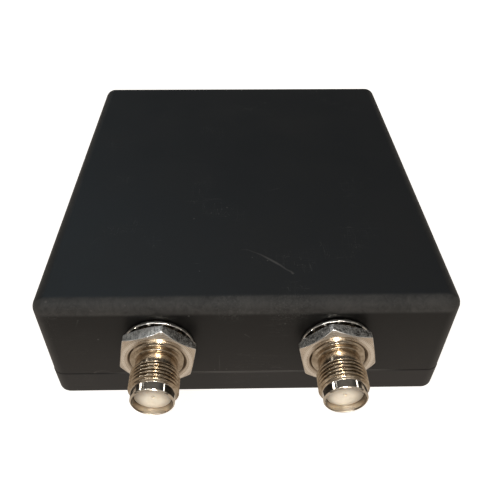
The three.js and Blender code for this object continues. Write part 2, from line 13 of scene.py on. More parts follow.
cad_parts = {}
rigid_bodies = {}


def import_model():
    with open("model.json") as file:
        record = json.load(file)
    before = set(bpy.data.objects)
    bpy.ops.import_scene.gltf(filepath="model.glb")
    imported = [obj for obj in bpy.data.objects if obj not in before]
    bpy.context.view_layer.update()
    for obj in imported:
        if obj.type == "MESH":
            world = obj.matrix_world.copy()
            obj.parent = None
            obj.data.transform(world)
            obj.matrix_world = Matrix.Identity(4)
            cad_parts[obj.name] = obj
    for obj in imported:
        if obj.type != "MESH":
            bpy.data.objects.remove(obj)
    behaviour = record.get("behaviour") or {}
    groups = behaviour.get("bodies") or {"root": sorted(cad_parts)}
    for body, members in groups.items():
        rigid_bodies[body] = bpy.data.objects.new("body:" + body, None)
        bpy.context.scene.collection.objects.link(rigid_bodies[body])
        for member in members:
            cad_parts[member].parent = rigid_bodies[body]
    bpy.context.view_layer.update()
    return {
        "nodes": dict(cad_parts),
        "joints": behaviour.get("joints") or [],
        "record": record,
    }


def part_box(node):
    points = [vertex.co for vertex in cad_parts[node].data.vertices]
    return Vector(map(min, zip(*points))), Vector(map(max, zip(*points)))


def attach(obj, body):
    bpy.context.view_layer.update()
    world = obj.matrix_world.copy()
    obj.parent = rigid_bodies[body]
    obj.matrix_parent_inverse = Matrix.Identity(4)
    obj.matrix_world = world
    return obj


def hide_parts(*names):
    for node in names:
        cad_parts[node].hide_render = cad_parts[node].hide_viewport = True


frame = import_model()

MM = 0.001
SCENE = bpy.context.scene
JOINTS = {joint["name"]: joint for joint in frame["joints"]}


# ------------------------------------------------------------------ sizes from the CAD frame
def box_mm(node):
    """Low and high corners of a CAD node's box."""
    low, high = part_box(node)
    return np.array(low) / MM, np.array(high) / MM


def middle(node):
    low, high = box_mm(node)
    return (low + high) / 2


def joint_mm(name):
    return [value / MM for value in JOINTS[name]["pos_m"]]


house_low, house_high = box_mm("top_housing")
W, D = (house_high - house_low)[:2].tolist()
H = float(house_high[2])
FRONT, BACK = float(house_low[1]), float(house_high[1])
PART_Z = float(house_low[2]) + 1.2 - 0.06  # underside of the housing's rim
WALL, ROOF, FLOOR = 2.2, 2.4, 2.4
ROOF_Z = H - ROOF                # underside of the roof
CORNER_R, TOP_R = 3.5, 3.3
JACKS = {side: joint_mm(f"{side}_nut_turn")[::2] for side in ("left", "right")}  # x, z
CORNERS = {corner: joint_mm(f"screw_{corner}_turn")[:2]
           for corner in ("front_left", "front_right", "rear_left", "rear_right")}
POSTS = {corner: tuple(middle(f"pcb_screw_{corner}")[:2]) for corner in CORNERS}
BOARD_LOW, BOARD_HIGH = (corner[2] for corner in box_mm("main_pcb"))
SOCKET_X, SOCKET_Z = middle("dc_socket")[0], 14.0
PIPE_X, _, PIPE_Z = middle("light_pipe")
# the nut's turn for each metre of travel gives the thread's pitch
PITCH = 2 * math.pi / next(coupling["ratio"]
                           for coupling in frame["record"]["behaviour"]["couplings"]
                           if coupling["joint"] == "left_nut_turn") / MM


# ------------------------------------------------------------------ shader helpers
class Value:
    """A shader node's output. Arithmetic on it adds nodes."""

    def __init__(self, shader, socket):
        self.shader, self.socket = shader, socket

    def math(self, operation, *others):
        return self.shader.math(operation, self, *others)

    def __abs__(self):
        return self.math("ABSOLUTE")

    def __add__(self, other):
        return self.math("ADD", other)

    def __radd__(self, other):
        return self.shader.math("ADD", other, self)

    def __sub__(self, other):
        return self.math("SUBTRACT", other)

    def __rsub__(self, other):
        return self.shader.math("SUBTRACT", other, self)

    def __mul__(self, other):
        return self.math("MULTIPLY", other)

    def __truediv__(self, other):
        return self.math("DIVIDE", other)

    def span(self, start, end, out, **settings):
        inputs = {"Value": self, "From Min": start, "From Max": end,
                  "To Min": out[0], "To Max": out[1]}
        return self.shader.node("MapRange", inputs, **settings)

    def fade(self, start, end):
        """Eased from 0 at start to 1 at end; start may be the larger."""
        return self.span(start, end, (0, 1), interpolation_type="SMOOTHSTEP")

    def ramp(self, start=0.3, end=0.7, out=(0, 1)):
        """Straight from out[0] to out[1]. The default range is where most noise lies."""
        return self.span(start, end, out)

    def sibling(self, name):
        """Another output of the same node."""
        return Value(self.shader, self.socket.node.outputs[name])


class Shader:
    """The node tree of one material or world."""

    def __init__(self, owner, output="OutputMaterial"):
        owner.use_nodes = True
        self.owner, self.tree = owner, owner.node_tree
        self.tree.nodes.clear()
        self.output = self.tree.nodes.new("ShaderNode" + output).inputs["Surface"]

    def put(self, socket, value):
        if isinstance(value, Value):
            self.tree.links.new(value.socket, socket)
        elif isinstance(value, (int, float)):
            socket.default_value = value
        else:
            values = list(value)
            if socket.type == "RGBA" and len(values) == 3:
                values.append(1.0)
            socket.default_value = values

    def node(self, kind, inputs=None, out=0, **settings):
        node = self.tree.nodes.new("ShaderNode" + kind)
        for key, value in settings.items():
            setattr(node, key, value)
        for key, value in (inputs or {}).items():
            self.put(node.inputs[key], value)
        return Value(self, node.outputs[out])

    @cached_property
    def mm(self):
        """Position on the object, in mm."""
        return self.scaled(self.node("TexCoord", out="Object"), 1000.0)

    @cached_property
    def normal(self):
        return self.node("NewGeometry", out="Normal")

    @cached_property
    def bsdf(self):
        shading = self.node("BsdfPrincipled")
        self.put(self.output, shading)
        return shading.socket.node

    def surface(self, **inputs):
        """Set the surface's inputs and return the material."""
        for key, value in inputs.items():
            self.put(self.bsdf.inputs[key.replace("_", " ")], value)
        return self.owner

    def current(self, name):
        """What now feeds a surface input."""
        return Value(self, self.bsdf.inputs[name].links[0].from_socket)

    def math(self, operation, *values, clamp=False):
        return self.node("Math", dict(enumerate(values)), operation=operation, use_clamp=clamp)

    def larger(self, first, *others):
        for other in others:
            first = self.math("MAXIMUM", first, other)
        return first

    def vector(self, operation, first, second=None, out="Vector"):
        inputs = {0: first} if second is None else {0: first, 1: second}
        return self.node("VectorMath", inputs, out, operation=operation)

    def scaled(self, vector, scale):
        return self.node("VectorMath", {0: vector, "Scale": scale}, operation="SCALE")

    def combine(self, *parts):
        return self.node("CombineXYZ", dict(enumerate(parts)))

    def xyz(self, vector):
        x = self.node("SeparateXYZ", {0: vector})
        return x, x.sibling("Y"), x.sibling("Z")

    def noise(self, scale, detail=4, rough=0.6, distortion=0.0, at=None):
        """Noise of one scale, or of an (x, y, z) scale that stretches it."""
        position = at or self.mm
        if isinstance(scale, tuple):
            position, scale = self.vector("MULTIPLY", position, scale), 1.0
        return self.node("TexNoise", {"Vector": position, "Scale": scale, "Detail": detail,
                                      "Roughness": rough, "Distortion": distortion}, "Fac")

    def cells(self, scale):
        """Distance to the nearest cell centre, and the cell's random colour."""
        distance = self.node("TexVoronoi", {"Vector": self.mm, "Scale": scale},
                             "Distance", feature="F1")
        return distance, distance.sibling("Color")

    def mix(self, amount, first, second, blend="MIX"):
        return self.node("Mix", {0: amount, 6: first, 7: second}, 2,
                         data_type="RGBA", blend_type=blend)

    def multiply(self, first, second):
        return self.mix(1.0, first, second, "MULTIPLY")

    def shaded(self, colour, tone):
        return self.multiply(colour, self.multiply((1, 1, 1), tone))

    def bump(self, height, strength, depth, normal=None):
        """Depth is in mm."""
        inputs = {"Strength": strength, "Distance": depth * MM, "Height": height}
        if normal:
            inputs["Normal"] = normal
        return self.node("Bump", inputs)

    def scratch(self, points, width):
        """1 on a polyline through (x, y, z, strength) points, 0 away from it."""
        best = None
        for (*start, strength0), (*end, strength1) in zip(points, points[1:]):
            start, end = Vector(start), Vector(end)
            run = end - start
            offset = self.vector("SUBTRACT", self.mm, tuple(start))
            along = self.math("MULTIPLY", self.vector("DOT_PRODUCT", offset, tuple(run), "Value"),
                              1.0 / run.length_squared, clamp=True)
            away = self.vector("SUBTRACT", offset, self.scaled(tuple(run), along))
            away = self.vector("LENGTH", away, out="Value")
            wide = along.ramp(0, 1, out=(width * (0.5 + strength0), width * (0.5 + strength1)))
            line = self.math("SUBTRACT", 1.0, away / (wide * 1.4), clamp=True)
            line = line * along.ramp(0, 1, out=(strength0, strength1))
            best = self.larger(best, line) if best else line
        return best

    def dot(self, centre, radius):
        distance = self.vector("LENGTH", self.vector("SUBTRACT", self.mm, centre), out="Value")
        return distance.fade(radius, radius * 0.35)


def new_shader(name):
    return Shader(bpy.data.materials.new(name))


# ------------------------------------------------------------------ case plastic
RIM_SHEEN_AND_WEAR, SEAM_HIGHLIGHT_AND_WEAR = 0.62, 0.95  # how strongly the rim's painted sheen and wear, and the seam's painted highlight and wear, cover the plastic
SHOULDER = H - TOP_R              # where the rounded top edge begins


def moulded_plastic(name, base, warm, roughness, marks=None, wall_shading=0.0):
    """Blotched, grained plastic with specks, hairlines and rubbed edges, a painted sheen on the
    rounded top edge, a patchy painted highlight on the bruised seam, and painted shading down the
    walls.
    """
    s = new_shader(name)
    x, y, z = s.xyz(s.mm)
    blotch = s.noise(0.045, detail=3, rough=0.55)
    grain = s.noise(3.2, detail=3)
    fine = s.noise(9.0, detail=2)
    distance, cell_colour = s.cells(0.23)
    speck = distance.fade(0.075, 0.02) * s.xyz(cell_colour)[0].fade(0.86, 0.9)

    # long faint hairlines, in two directions
    hair = abs(s.noise((0.05, 0.9, 0.9), detail=2, rough=0.5) - 0.5).fade(0.0045, 0.0005)
    shifted = s.vector("ADD", s.mm, (31.0, 7.0, 3.0))
    hair2 = s.noise((0.55, 0.07, 0.55), detail=2, rough=0.5, at=shifted)
    hair2 = abs(hair2 - 0.5).fade(0.004, 0.0005)
    hairs = s.larger(hair, hair2) * s.noise(0.06, detail=2, rough=0.5).fade(0.55, 0.68) * 0.5

    # scuffs on the edges and along the start of the rounding
    edge_x = abs(x).fade(W / 2 - TOP_R, W / 2 - 0.6)
    edge_y = abs(y).fade(D / 2 - TOP_R, D / 2 - 0.6)
    edge_z = z.fade(SHOULDER, H - 0.5)
    edge = s.larger(edge_x * edge_z, edge_y * edge_z, edge_x * edge_y)
    band = s.larger(abs(y).fade(D / 2 - TOP_R - 0.6, D / 2 - TOP_R + 0.5),
                    abs(x).fade(W / 2 - TOP_R - 0.6, W / 2 - TOP_R + 0.5))
    band = band * z.fade(SHOULDER - 0.4, SHOULDER + 0.8)
    scuff = (s.larger(edge, band * 0.55) * s.noise(1.5, detail=6, rough=0.72).fade(0.5, 0.76)
             * s.noise(0.09, detail=2, rough=0.5).ramp(0.35, 0.65, out=(0.25, 1.0)))

    # painted sheen: the rounded top edge becomes a paler band where it faces the front light,
    # duller and mottled like rubbed plastic
    def rounding(across, half):
        return (abs(across).fade(half - TOP_R - 0.2, half - TOP_R + 0.9)
                * z.fade(SHOULDER - 0.25, SHOULDER + 0.75))

    mottle = (s.noise(0.45, detail=6, rough=0.72, distortion=1.2) * 0.6
              + s.noise(0.10, detail=2, rough=0.5) * 0.4).ramp(0.38, 0.62, out=(0.50, 1.50))
    rim_sheen_and_wear = s.larger(rounding(y, D / 2), rounding(x, W / 2) * 0.5) * mottle

    # painted highlight along the front's parting line, where its edge catches the light, patchy
    # along its length like a bruised edge
    patches = (s.noise((0.11, 0.11, 0.0), detail=2, rough=0.5) * 0.6
               + s.noise((0.9, 0.9, 0.0), detail=4, rough=0.7) * 0.4)
    seam = (abs(z - (PART_Z + 0.06)).fade(0.34, 0.20) * patches.fade(0.26, 0.40)
            * y.fade(FRONT + 1.2, FRONT + 0.5) * x.fade(-36.0, -26.0) * x.fade(40.0, 30.0))
    light = s.math("ADD", speck * 0.7 + hairs + scuff * 0.5, marks(s) if marks else 0.0,
                   clamp=True)

    colour = s.mix(blotch.ramp(0.35, 0.65), base, warm)
    colour = s.shaded(colour, blotch.ramp(out=(0.86, 1.14)))
    # painted shading: the walls are painted darker under the rounded top and paler from the
    # shoulder down to the parting line
    wall = s.mix(z.ramp(SHOULDER, PART_Z + 1.0), (0.0010, 0.0009, 0.0009),
                 (0.0125, 0.0110, 0.0102))
    colour = s.mix(z.fade(SHOULDER + 0.4, SHOULDER - 0.6) * wall_shading, colour, wall)
    colour = s.mix(s.math("MULTIPLY", rim_sheen_and_wear, RIM_SHEEN_AND_WEAR, clamp=True), colour, (0.064, 0.060, 0.055))
    colour = s.mix(seam * SEAM_HIGHLIGHT_AND_WEAR, colour, (0.098, 0.091, 0.084))
    colour = s.mix(light * 0.85, colour, (0.105, 0.098, 0.09))
    rough = (grain.ramp(out=(roughness - 0.035, roughness + 0.035))
             + blotch.ramp(out=(-0.03, 0.03)) + light * 0.08 + rim_sheen_and_wear * 0.12)
    normal = s.bump(s.noise(0.028, detail=1, rough=0.5), strength=0.12, depth=1.2)
    normal = s.bump(grain * 0.55 + fine * 0.45 + light * 0.5, strength=0.2, depth=0.045,
                    normal=normal)
    return s.surface(Base_Color=colour, Roughness=rough, Normal=normal, IOR=1.42, Metallic=0.0)


def add_nicks(s, marks, nicks):
    """Nicks are (x, y, z, radius)."""
    for *centre, radius in nicks:
        marks = s.larger(marks, s.dot(centre, radius) * 0.7)
    return marks


def roof_marks(s):
    """The long scratch on the roof, a rubbed patch, two faint lines and small nicks."""
    def line(points, width):  # points are (x, y, strength)
        return s.scratch([(x, y, H, strength) for x, y, strength in points], width)

    long = line([(-1.0, -36.45, 0.16), (0.3, -36.45, 0.24), (2.3, -37.6, 0.3), (3.5, -38.3, 0.5),
                 (5.3, -39.8, 0.85), (7.0, -41.3, 0.95), (8.1, -42.3, 0.7), (9.2, -43.6, 0.5),
                 (10.3, -44.4, 0.6), (10.65, -45.0, 0.85)], width=0.22)
    rub = (s.dot((3.6, -40.4, H), 3.6) * s.noise(2.6, detail=4, rough=0.7).fade(0.56, 0.74)
           * 0.32)
    faint = line([(6.4, -11.5, 0.1), (7.5, -11.2, 0.22), (9.2, -10.6, 0.34), (10.2, -10.2, 0.1)],
                 width=0.16)
    short = line([(-12.6, -41.2, 0.1), (-11.6, -41.2, 0.3), (-11.2, -41.3, 0.1)], width=0.15)
    marks = s.larger(s.larger(long, rub), s.larger(faint, short))
    return add_nicks(s, marks, [(-45.35, FRONT + 2.96, H, 0.28), (1.41, -39.27, H, 0.2),
                                (5.01, -40.43, H, 0.28), (-11.0, -43.9, H, 0.22)])


def wall_marks(s):
    """Nicks, faint lines and rubbed patches on the front wall and its rounded top edge."""
    def line(points, width):  # points are (x, z, strength)
        return s.scratch([(x, FRONT, z, strength) for x, z, strength in points], width)

    def rub(x, drop, radius, scale, fade):
        patch = s.dot((x, FRONT + 0.8, H - drop), radius)
        return patch * s.noise(scale, detail=5, rough=0.7).fade(*fade) * 0.5

    slant = line([(-37.9, 27.0, 0.5), (-38.4, 25.8, 0.25), (-39.05, 24.3, 0.1)], width=0.22)
    arc = line([(-37.7, 7.76, 0.8), (-37.0, 8.3, 0.5), (-35.6, 8.54, 0.4), (-34.4, 8.3, 0.35),
                (-33.3, 7.7, 0.3)], width=0.2)
    down = line([(-6.7, 14.2, 0.2), (-6.75, 11.0, 0.45), (-6.8, 8.1, 0.3)], width=0.17)
    tick = line([(-0.6, 21.6, 0.5), (0.5, 20.6, 0.3)], width=0.2)
    rubs = s.larger(rub(-3.5, drop=1.2, radius=5.5, scale=1.9, fade=(0.46, 0.68)),
                    rub(9.5, drop=1.0, radius=7.0, scale=2.3, fade=(0.48, 0.70)))
    marks = s.larger(s.larger(slant, arc), s.larger(down, tick), rubs)
    return add_nicks(s, marks, [
        (-34.56, FRONT + 0.39, H - 1.75, 0.32), (-44.46, FRONT + 1.93, H - 0.3, 0.4),
        (-27.08, FRONT + 1.07, H - 0.86, 0.28), (-21.04, FRONT + 2.16, H - 0.2, 0.3),
        (-5.07, FRONT, 8.62, 0.26), (-8.0, FRONT, 8.5, 0.24), (-34.57, FRONT, 20.37, 0.35)])


# ------------------------------------------------------------------ metals
def metal(name, dark, light, rough, lines=(0.0, 5.0, 0.0), spots=0.5):
    """Shader of smudged plated metal; lines is the (x, y, z) scale of its turning marks."""
    s = new_shader(name)
    turning = s.noise(lines, detail=4, rough=0.7)
    smudge = s.noise(0.28)
    grime = s.noise(1.1, detail=5, rough=0.65)
    clean_and_sheen = s.math("MULTIPLY", smudge.ramp(), grime.ramp(0.3, 0.6, out=(0.35, 1.0)), clamp=True)
    colour = s.mix(clean_and_sheen, dark, light)
    colour = s.mix(grime.fade(0.66, 0.78) * spots, colour, tuple(part * 0.45 for part in dark))
    roughness = (smudge.ramp(out=rough[::-1]) + grime.fade(0.5, 0.8) * (0.12 * spots)
                 + turning.ramp(out=(-0.02, 0.03)))
    normal = s.bump(s.noise(0.5, detail=2, rough=0.5), strength=0.1, depth=0.08)
    fine = s.noise(7.0, detail=2, rough=0.5)
    normal = s.bump(turning * 0.35 + fine * 0.12, strength=0.35, depth=0.012, normal=normal)
    s.surface(Base_Color=colour, Metallic=1.0, Roughness=roughness, Normal=normal)
    return s


def nearer_jack(s, drop=0.0):
    """Distance from the nearer jack's axis, moved down by drop."""
    x, _, z = s.xyz(s.mm)
    return s.math("MINIMUM", *[
        ((x - jack_x) * (x - jack_x) + (z - (jack_z - drop)) * (z - (jack_z - drop))).math("SQRT")
        for jack_x, jack_z in JACKS.values()])


def jack_nickel():
    """Jack shell: browned on its outer thread, with painted shade on the sides of the bore's
    mouth, and dull under the lip.
    """
    s = metal("nickel", (0.50, 0.43, 0.345), (0.74, 0.67, 0.575), rough=(0.05, 0.13))
    out = FRONT - s.xyz(s.mm)[1]  # distance in front of the wall
    worn = s.larger(out.fade(8.7, 9.3) * out.fade(14.25, 13.9), out.fade(9.3, 8.7) * 0.8)
    old_rough = s.current("Roughness")
    x, _, z = s.xyz(s.mm)
    across = abs(abs(x) - JACKS["right"][0])
    above = z - JACKS["right"][1]
    radius = (across * across + above * above).math("SQRT")
    bore = radius.fade(4.46, 4.40) * out.fade(14.2, 14.6)
    lip = above.fade(-3.3, -3.9) * out.fade(15.2, 15.6)
    plain = s.current("Base Color")
    brown = s.mix(s.noise(0.55, detail=5, rough=0.7).ramp(0.35, 0.65), (0.50, 0.42, 0.325),
                  (0.84, 0.785, 0.71))
    colour = s.mix(worn, plain, s.multiply(plain, brown))
    # painted shade: the left and right sides of the bore's mouth are painted dark
    bore_shade = bore * across.fade(2.4, 4.1) * 0.85
    return s.surface(Roughness=old_rough + worn * 0.10 + lip * 0.30,
                     Base_Color=s.mix(bore_shade, colour, (0.16, 0.125, 0.095)))


def washer_nickel():
    """Bright rim; the teeth towards the hole are painted dark as painted shade in the gap under
    the nut.
    """
    s = metal("washer_nickel", (0.60, 0.58, 0.54), (0.86, 0.84, 0.79), rough=(0.24, 0.36),
              lines=(2.0, 0.0, 2.0))
    # painted shade over the teeth inside the rim
    teeth = nearer_jack(s).fade(8.12, 7.94)
    return s.surface(Base_Color=s.mix(teeth, s.current("Base Color"), (0.10, 0.094, 0.084)))


def nut_metal(name, centre_x, centre_z, corner_deg, clean_and_sheen):
    """A nut: end faces turned in rings, six rough-drawn sides, one side with a painted sheen, and
    a painted highlight, patchy like a burr, at one corner.
    """
    s = new_shader(name)
    x, _, z = s.xyz(s.mm)
    across, above = x - centre_x, z - centre_z
    radius = (across * across + above * above).math("SQRT")
    rings = s.noise(1.0, detail=4, rough=0.75, at=s.combine(radius * 3.4))
    face = abs(s.xyz(s.normal)[1]).fade(0.35, 0.75)
    # sides: drawn grooves along the axis, torn metal and bright flecks
    drawn = s.noise((2.6, 0.55, 2.6), detail=5, rough=0.75)
    torn = s.noise((1.0, 0.75, 1.0), detail=5, rough=0.75, distortion=0.8)
    flecks = s.larger(s.noise((1.5, 2.6, 1.5), detail=4, rough=0.8).fade(0.52, 0.63),
                      s.noise((2.6, 3.4, 2.6), detail=3, rough=0.7).fade(0.52, 0.60) * 0.8)
    smudge = s.noise(0.3)
    grime = s.noise(1.3, detail=5, rough=0.7)

    end = s.mix(smudge.ramp(), (0.56, 0.475, 0.385), (0.76, 0.675, 0.57))
    end = s.mix(radius.fade(7.22, 7.4) * radius.fade(8.15, 7.9) * 0.75, end, (0.90, 0.82, 0.72))
    end = s.mix(rings.fade(0.52, 0.62) * 0.3, end, (0.40, 0.335, 0.265))
    end = s.mix(radius.fade(6.95, 6.6) * 0.35, end, (0.42, 0.36, 0.29))

    side = s.mix((drawn * 0.35 + torn * 0.65).ramp(0.45, 0.56), (0.075, 0.068, 0.058),
                 (0.70, 0.68, 0.645))
    # painted sheen: the side next to the burred corner is painted brighter than the rest, as if
    # lit
    sheen_angle = math.radians(corner_deg + 30)
    normal_x, _, normal_z = s.xyz(s.normal)
    facing = normal_x * math.cos(sheen_angle) + normal_z * math.sin(sheen_angle)
    lit_side_colour = s.mix((drawn * 0.6 + torn * 0.4).ramp(0.44, 0.56), (0.34, 0.335, 0.32),
                   (1.0, 0.99, 0.96))
    side = s.mix(facing.fade(0.93, 0.98) * clean_and_sheen, side, lit_side_colour)
    side = s.mix(flecks * 0.9, side, (0.97, 0.96, 0.93))

    colour = s.mix(face, side, end)
    # painted highlight along the corner at corner_deg, broken up like a burr
    corner_x, corner_z = math.cos(math.radians(corner_deg)), math.sin(math.radians(corner_deg))
    off = abs(across * corner_z - above * corner_x)
    ahead = (across * corner_x + above * corner_z).fade(8.6, 9.0)
    broken = s.noise((1.2, 2.2, 1.2), detail=3, rough=0.7).fade(0.36, 0.5)
    colour = s.mix(off.fade(0.26, 0.10) * ahead * broken * 0.8, colour, (0.93, 0.92, 0.90))
    rough = (face * (0.26 + rings.ramp(out=(-0.05, 0.08)))
             + (1.0 - face) * grime.ramp(out=(0.30, 0.58)))
    height = face * rings * 0.35 + (1.0 - face) * (drawn * 0.8 + flecks * 0.6 + torn * 0.9)
    return s.surface(Base_Color=colour, Metallic=1.0, Roughness=rough,
                     Normal=s.bump(height, strength=0.55, depth=0.05))


# ------------------------------------------------------------------ rubber and insulator
def soft_material(name, first, second, rough, scale=0.4, depth=0.03):
    """Two-tone and lightly grained."""
    s = new_shader(name)
    broad = s.noise(scale)
    grain = s.noise(scale * 9, detail=3)
    return s.surface(Base_Color=s.mix(broad.ramp(), first, second), Metallic=0.0,
                     Roughness=grain.ramp(out=(rough - 0.06, rough + 0.08)),
                     Normal=s.bump(broad * 0.5 + grain * 0.5, strength=0.3, depth=depth))


def ptfe():
    """Waxy off-white insulator, with painted shade darkening it away from a point just below its
    middle.
    """
    s = new_shader("ptfe")
    broad = s.noise(0.35)
    grain = s.noise(2.4, detail=4, rough=0.65)
    white = s.mix(broad.ramp(), (0.66, 0.575, 0.465), (0.80, 0.73, 0.62))
    # painted shade: darker away from a point 1.4 mm below the axis, as the rim shades the upper
    # face
    white = s.mix(nearer_jack(s, drop=1.4).fade(1.3, 4.4), white, (0.30, 0.25, 0.20))
    return s.surface(Base_Color=white, Roughness=grain.ramp(out=(0.3, 0.48)),
                     Normal=s.bump(broad * 0.7 + grain * 0.3, strength=0.25, depth=0.12),
                     IOR=1.38, Subsurface_Weight=0.35, Subsurface_Radius=(0.9, 0.7, 0.5),
                     Subsurface_Scale=0.0008)


CASE_COLOURS = dict(base=(0.0052, 0.0057, 0.0062), warm=(0.0062, 0.0059, 0.0056))
CASE = moulded_plastic("case_plastic", **CASE_COLOURS, roughness=0.46, marks=wall_marks,
                       wall_shading=1.0)
CASE_ROOF = moulded_plastic("case_plastic_roof", **CASE_COLOURS, roughness=0.46,
                            marks=roof_marks)
BASE = moulded_plastic("base_plastic", base=(0.0200, 0.0186, 0.0180),
                       warm=(0.0230, 0.0200, 0.0187), roughness=0.50)
NICKEL = jack_nickel()
WASHER = washer_nickel()
SCREW = metal("screw_zinc", (0.38, 0.38, 0.37), (0.62, 0.62, 0.6), rough=(0.22, 0.38),
              lines=(3.0, 3.0, 0.0), spots=0.8).owner
GOLD = metal("gold_plate", (0.62, 0.40, 0.13), (0.86, 0.62, 0.26), rough=(0.14, 0.26)).owner
# painted highlight: a paler nickel for the nut's rounded edge between chamfer and sides, where it
# catches the light
NUT_EDGE_HIGHLIGHT = metal("nut_edge_highlight_nickel", (0.80, 0.78, 0.74), (0.95, 0.94, 0.91), rough=(0.24, 0.36),
                 lines=(1.5, 3.0, 1.5)).owner
RUBBER = soft_material("o_ring_rubber", (0.012, 0.012, 0.012), (0.03, 0.03, 0.03), rough=0.6)
PTFE = ptfe()


# ------------------------------------------------------------------ mesh helpers
def smooth(ob, angle):
    ob.data.shade_smooth()
    ob.data.set_sharp_from_angle(angle=math.radians(angle))


def new_mesh(name, verts, faces, material=None, angle=32):
    mesh = bpy.data.meshes.new(name)
    mesh.from_pydata((np.asarray(verts, float) * MM).tolist(), [], faces)
    bm = bmesh.new()
    bm.from_mesh(mesh)
    bmesh.ops.recalc_face_normals(bm, faces=bm.faces[:])
    if bm.calc_volume(signed=True) < 0:
        bmesh.ops.reverse_faces(bm, faces=bm.faces[:])
    bm.to_mesh(mesh)
    bm.free()
    ob = bpy.data.objects.new(name, mesh)
    SCENE.collection.objects.link(ob)
    if material is not None:
        mesh.materials.append(material)
    smooth(ob, angle)
    return ob


def weigh_normals(ob):
    modifier = ob.modifiers.new("wn", "WEIGHTED_NORMAL")
    modifier.mode = "FACE_AREA"
    modifier.weight = 80
    modifier.keep_sharp = True


def bevel(ob, width, angle=50, segments=2):
    modifier = ob.modifiers.new("bevel", "BEVEL")
    modifier.width = width * MM
    modifier.segments = segments
    modifier.limit_method = "ANGLE"
    modifier.angle_limit = math.radians(angle)
    modifier.harden_normals = False


def remove(ob):
    mesh = ob.data
    bpy.data.objects.remove(ob)
    bpy.data.meshes.remove(mesh)


def boolean(ob, tool, operation):
    """Bake a boolean into the part and remove the tool."""
    modifier = ob.modifiers.new("cut", "BOOLEAN")
    modifier.operation = operation
    modifier.solver = "EXACT"
    modifier.object = tool
    depsgraph = bpy.context.evaluated_depsgraph_get()
    mesh = bpy.data.meshes.new_from_object(ob.evaluated_get(depsgraph))
    ob.modifiers.clear()
    old = ob.data
    mesh.name = old.name + "_m"
    ob.data = mesh
    bpy.data.meshes.remove(old)
    remove(tool)


def cut(ob, tool):
    boolean(ob, tool, "DIFFERENCE")


def join(ob, tool):
    boolean(ob, tool, "UNION")


def merge(obs):
    """Several separate meshes as one tool, for one boolean."""
    verts, faces = [], []
    for ob in obs:
        first = len(verts)
        verts += [vert.co[:] for vert in ob.data.vertices]
        faces += [[index + first for index in face.vertices] for face in ob.data.polygons]
        remove(ob)
    mesh = bpy.data.meshes.new("tool")
    mesh.from_pydata(verts, [], faces)
    tool = bpy.data.objects.new("tool", mesh)
    SCENE.collection.objects.link(tool)
    return tool


def recoat(ob, angle, *materials):
    """Shade a cut part afresh and give it only these materials."""
    smooth(ob, angle)
    ob.data.materials.clear()
    for material in materials:
        ob.data.materials.append(material)


def assign(ob, node, body="case"):
    """Tell the frame what the part rides on and replaces."""
    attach(ob, body)
    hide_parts(node)


def rounded(width, depth, radius, z, steps, x=0.0, y=0.0):
    """A level rounded rectangle centred on (x, y)."""
    points = []
    for side_x, side_y, first in ((1, 1, 0), (-1, 1, 90), (-1, -1, 180), (1, -1, 270)):
        for i in range(steps + 1):
            angle = math.radians(first + 90 * i / steps)
            points.append((x + side_x * (width / 2 - radius) + radius * math.cos(angle),
                           y + side_y * (depth / 2 - radius) + radius * math.sin(angle), z))
    return points


def loft(rings, name="tool", material=None):
    count = len(rings[0])
    faces = []
    for k in range(len(rings) - 1):
        for i in range(count):
            j = (i + 1) % count
            faces.append((k * count + i, k * count + j,
                          (k + 1) * count + j, (k + 1) * count + i))
    faces.append(tuple(range(count))[::-1])
    faces.append(tuple((len(rings) - 1) * count + i for i in range(count)))
    return new_mesh(name, [point for ring in rings for point in ring], faces, material)


def angles(segments):
    return 2 * np.pi * np.arange(segments) / segments


def revolve(rows, place, segments=96, name="tool", material=None, angle=32):
    """Turn rows of (radius, distance) about an axis; either may vary with the angle.

    place(u, v, t) gives x, y, z. Rows that start on the axis make a solid;
    others close on themselves.
    """
    turn = angles(segments)
    cosine, sine = np.cos(turn), np.sin(turn)
    verts, index = [], []
    for radius, t in rows:
        radius, t = np.broadcast_to(radius, segments), np.broadcast_to(t, segments)
        start = len(verts)
        if radius.max() < 1e-9:
            verts.append(place(0.0, 0.0, float(t[0])))
            index.append([start] * segments)
        else:
            verts += [place(float(radius[k] * cosine[k]), float(radius[k] * sine[k]),
                            float(t[k])) for k in range(segments)]
            index.append(list(range(start, start + segments)))
    pairs = list(zip(index, index[1:]))
    if np.max(rows[0][0]) > 1e-9:
        pairs.append((index[-1], index[0]))
    faces = []
    for a, b in pairs:
        for k in range(segments):
            j = (k + 1) % segments
            face = tuple(dict.fromkeys((a[k], a[j], b[j], b[k])))
            if len(face) > 2:
                faces.append(face)
    return new_mesh(name, verts, faces, material, angle)


def out_of_front(x, z):
    """Place for revolve: t is the distance in front of the front wall."""
    return lambda u, v, t: (x + u, FRONT - t, z + v)


def along_y(x, z, start=0.0):
    return lambda u, v, t: (x + u, start + t, z + v)


def up_z(x, y):
    return lambda u, v, t: (x + u, y + v, t)


def raised(rows, start):
    """Rows with their distances counted from start."""
    return [(radius, start + t) for radius, t in rows]


def cylinder(radius, z0, z1, x, y, segments, end_radius=None):
    rows = [(0, z0), (radius, z0), (end_radius or radius, z1), (0, z1)]
    return revolve(rows, up_z(x, y), segments)


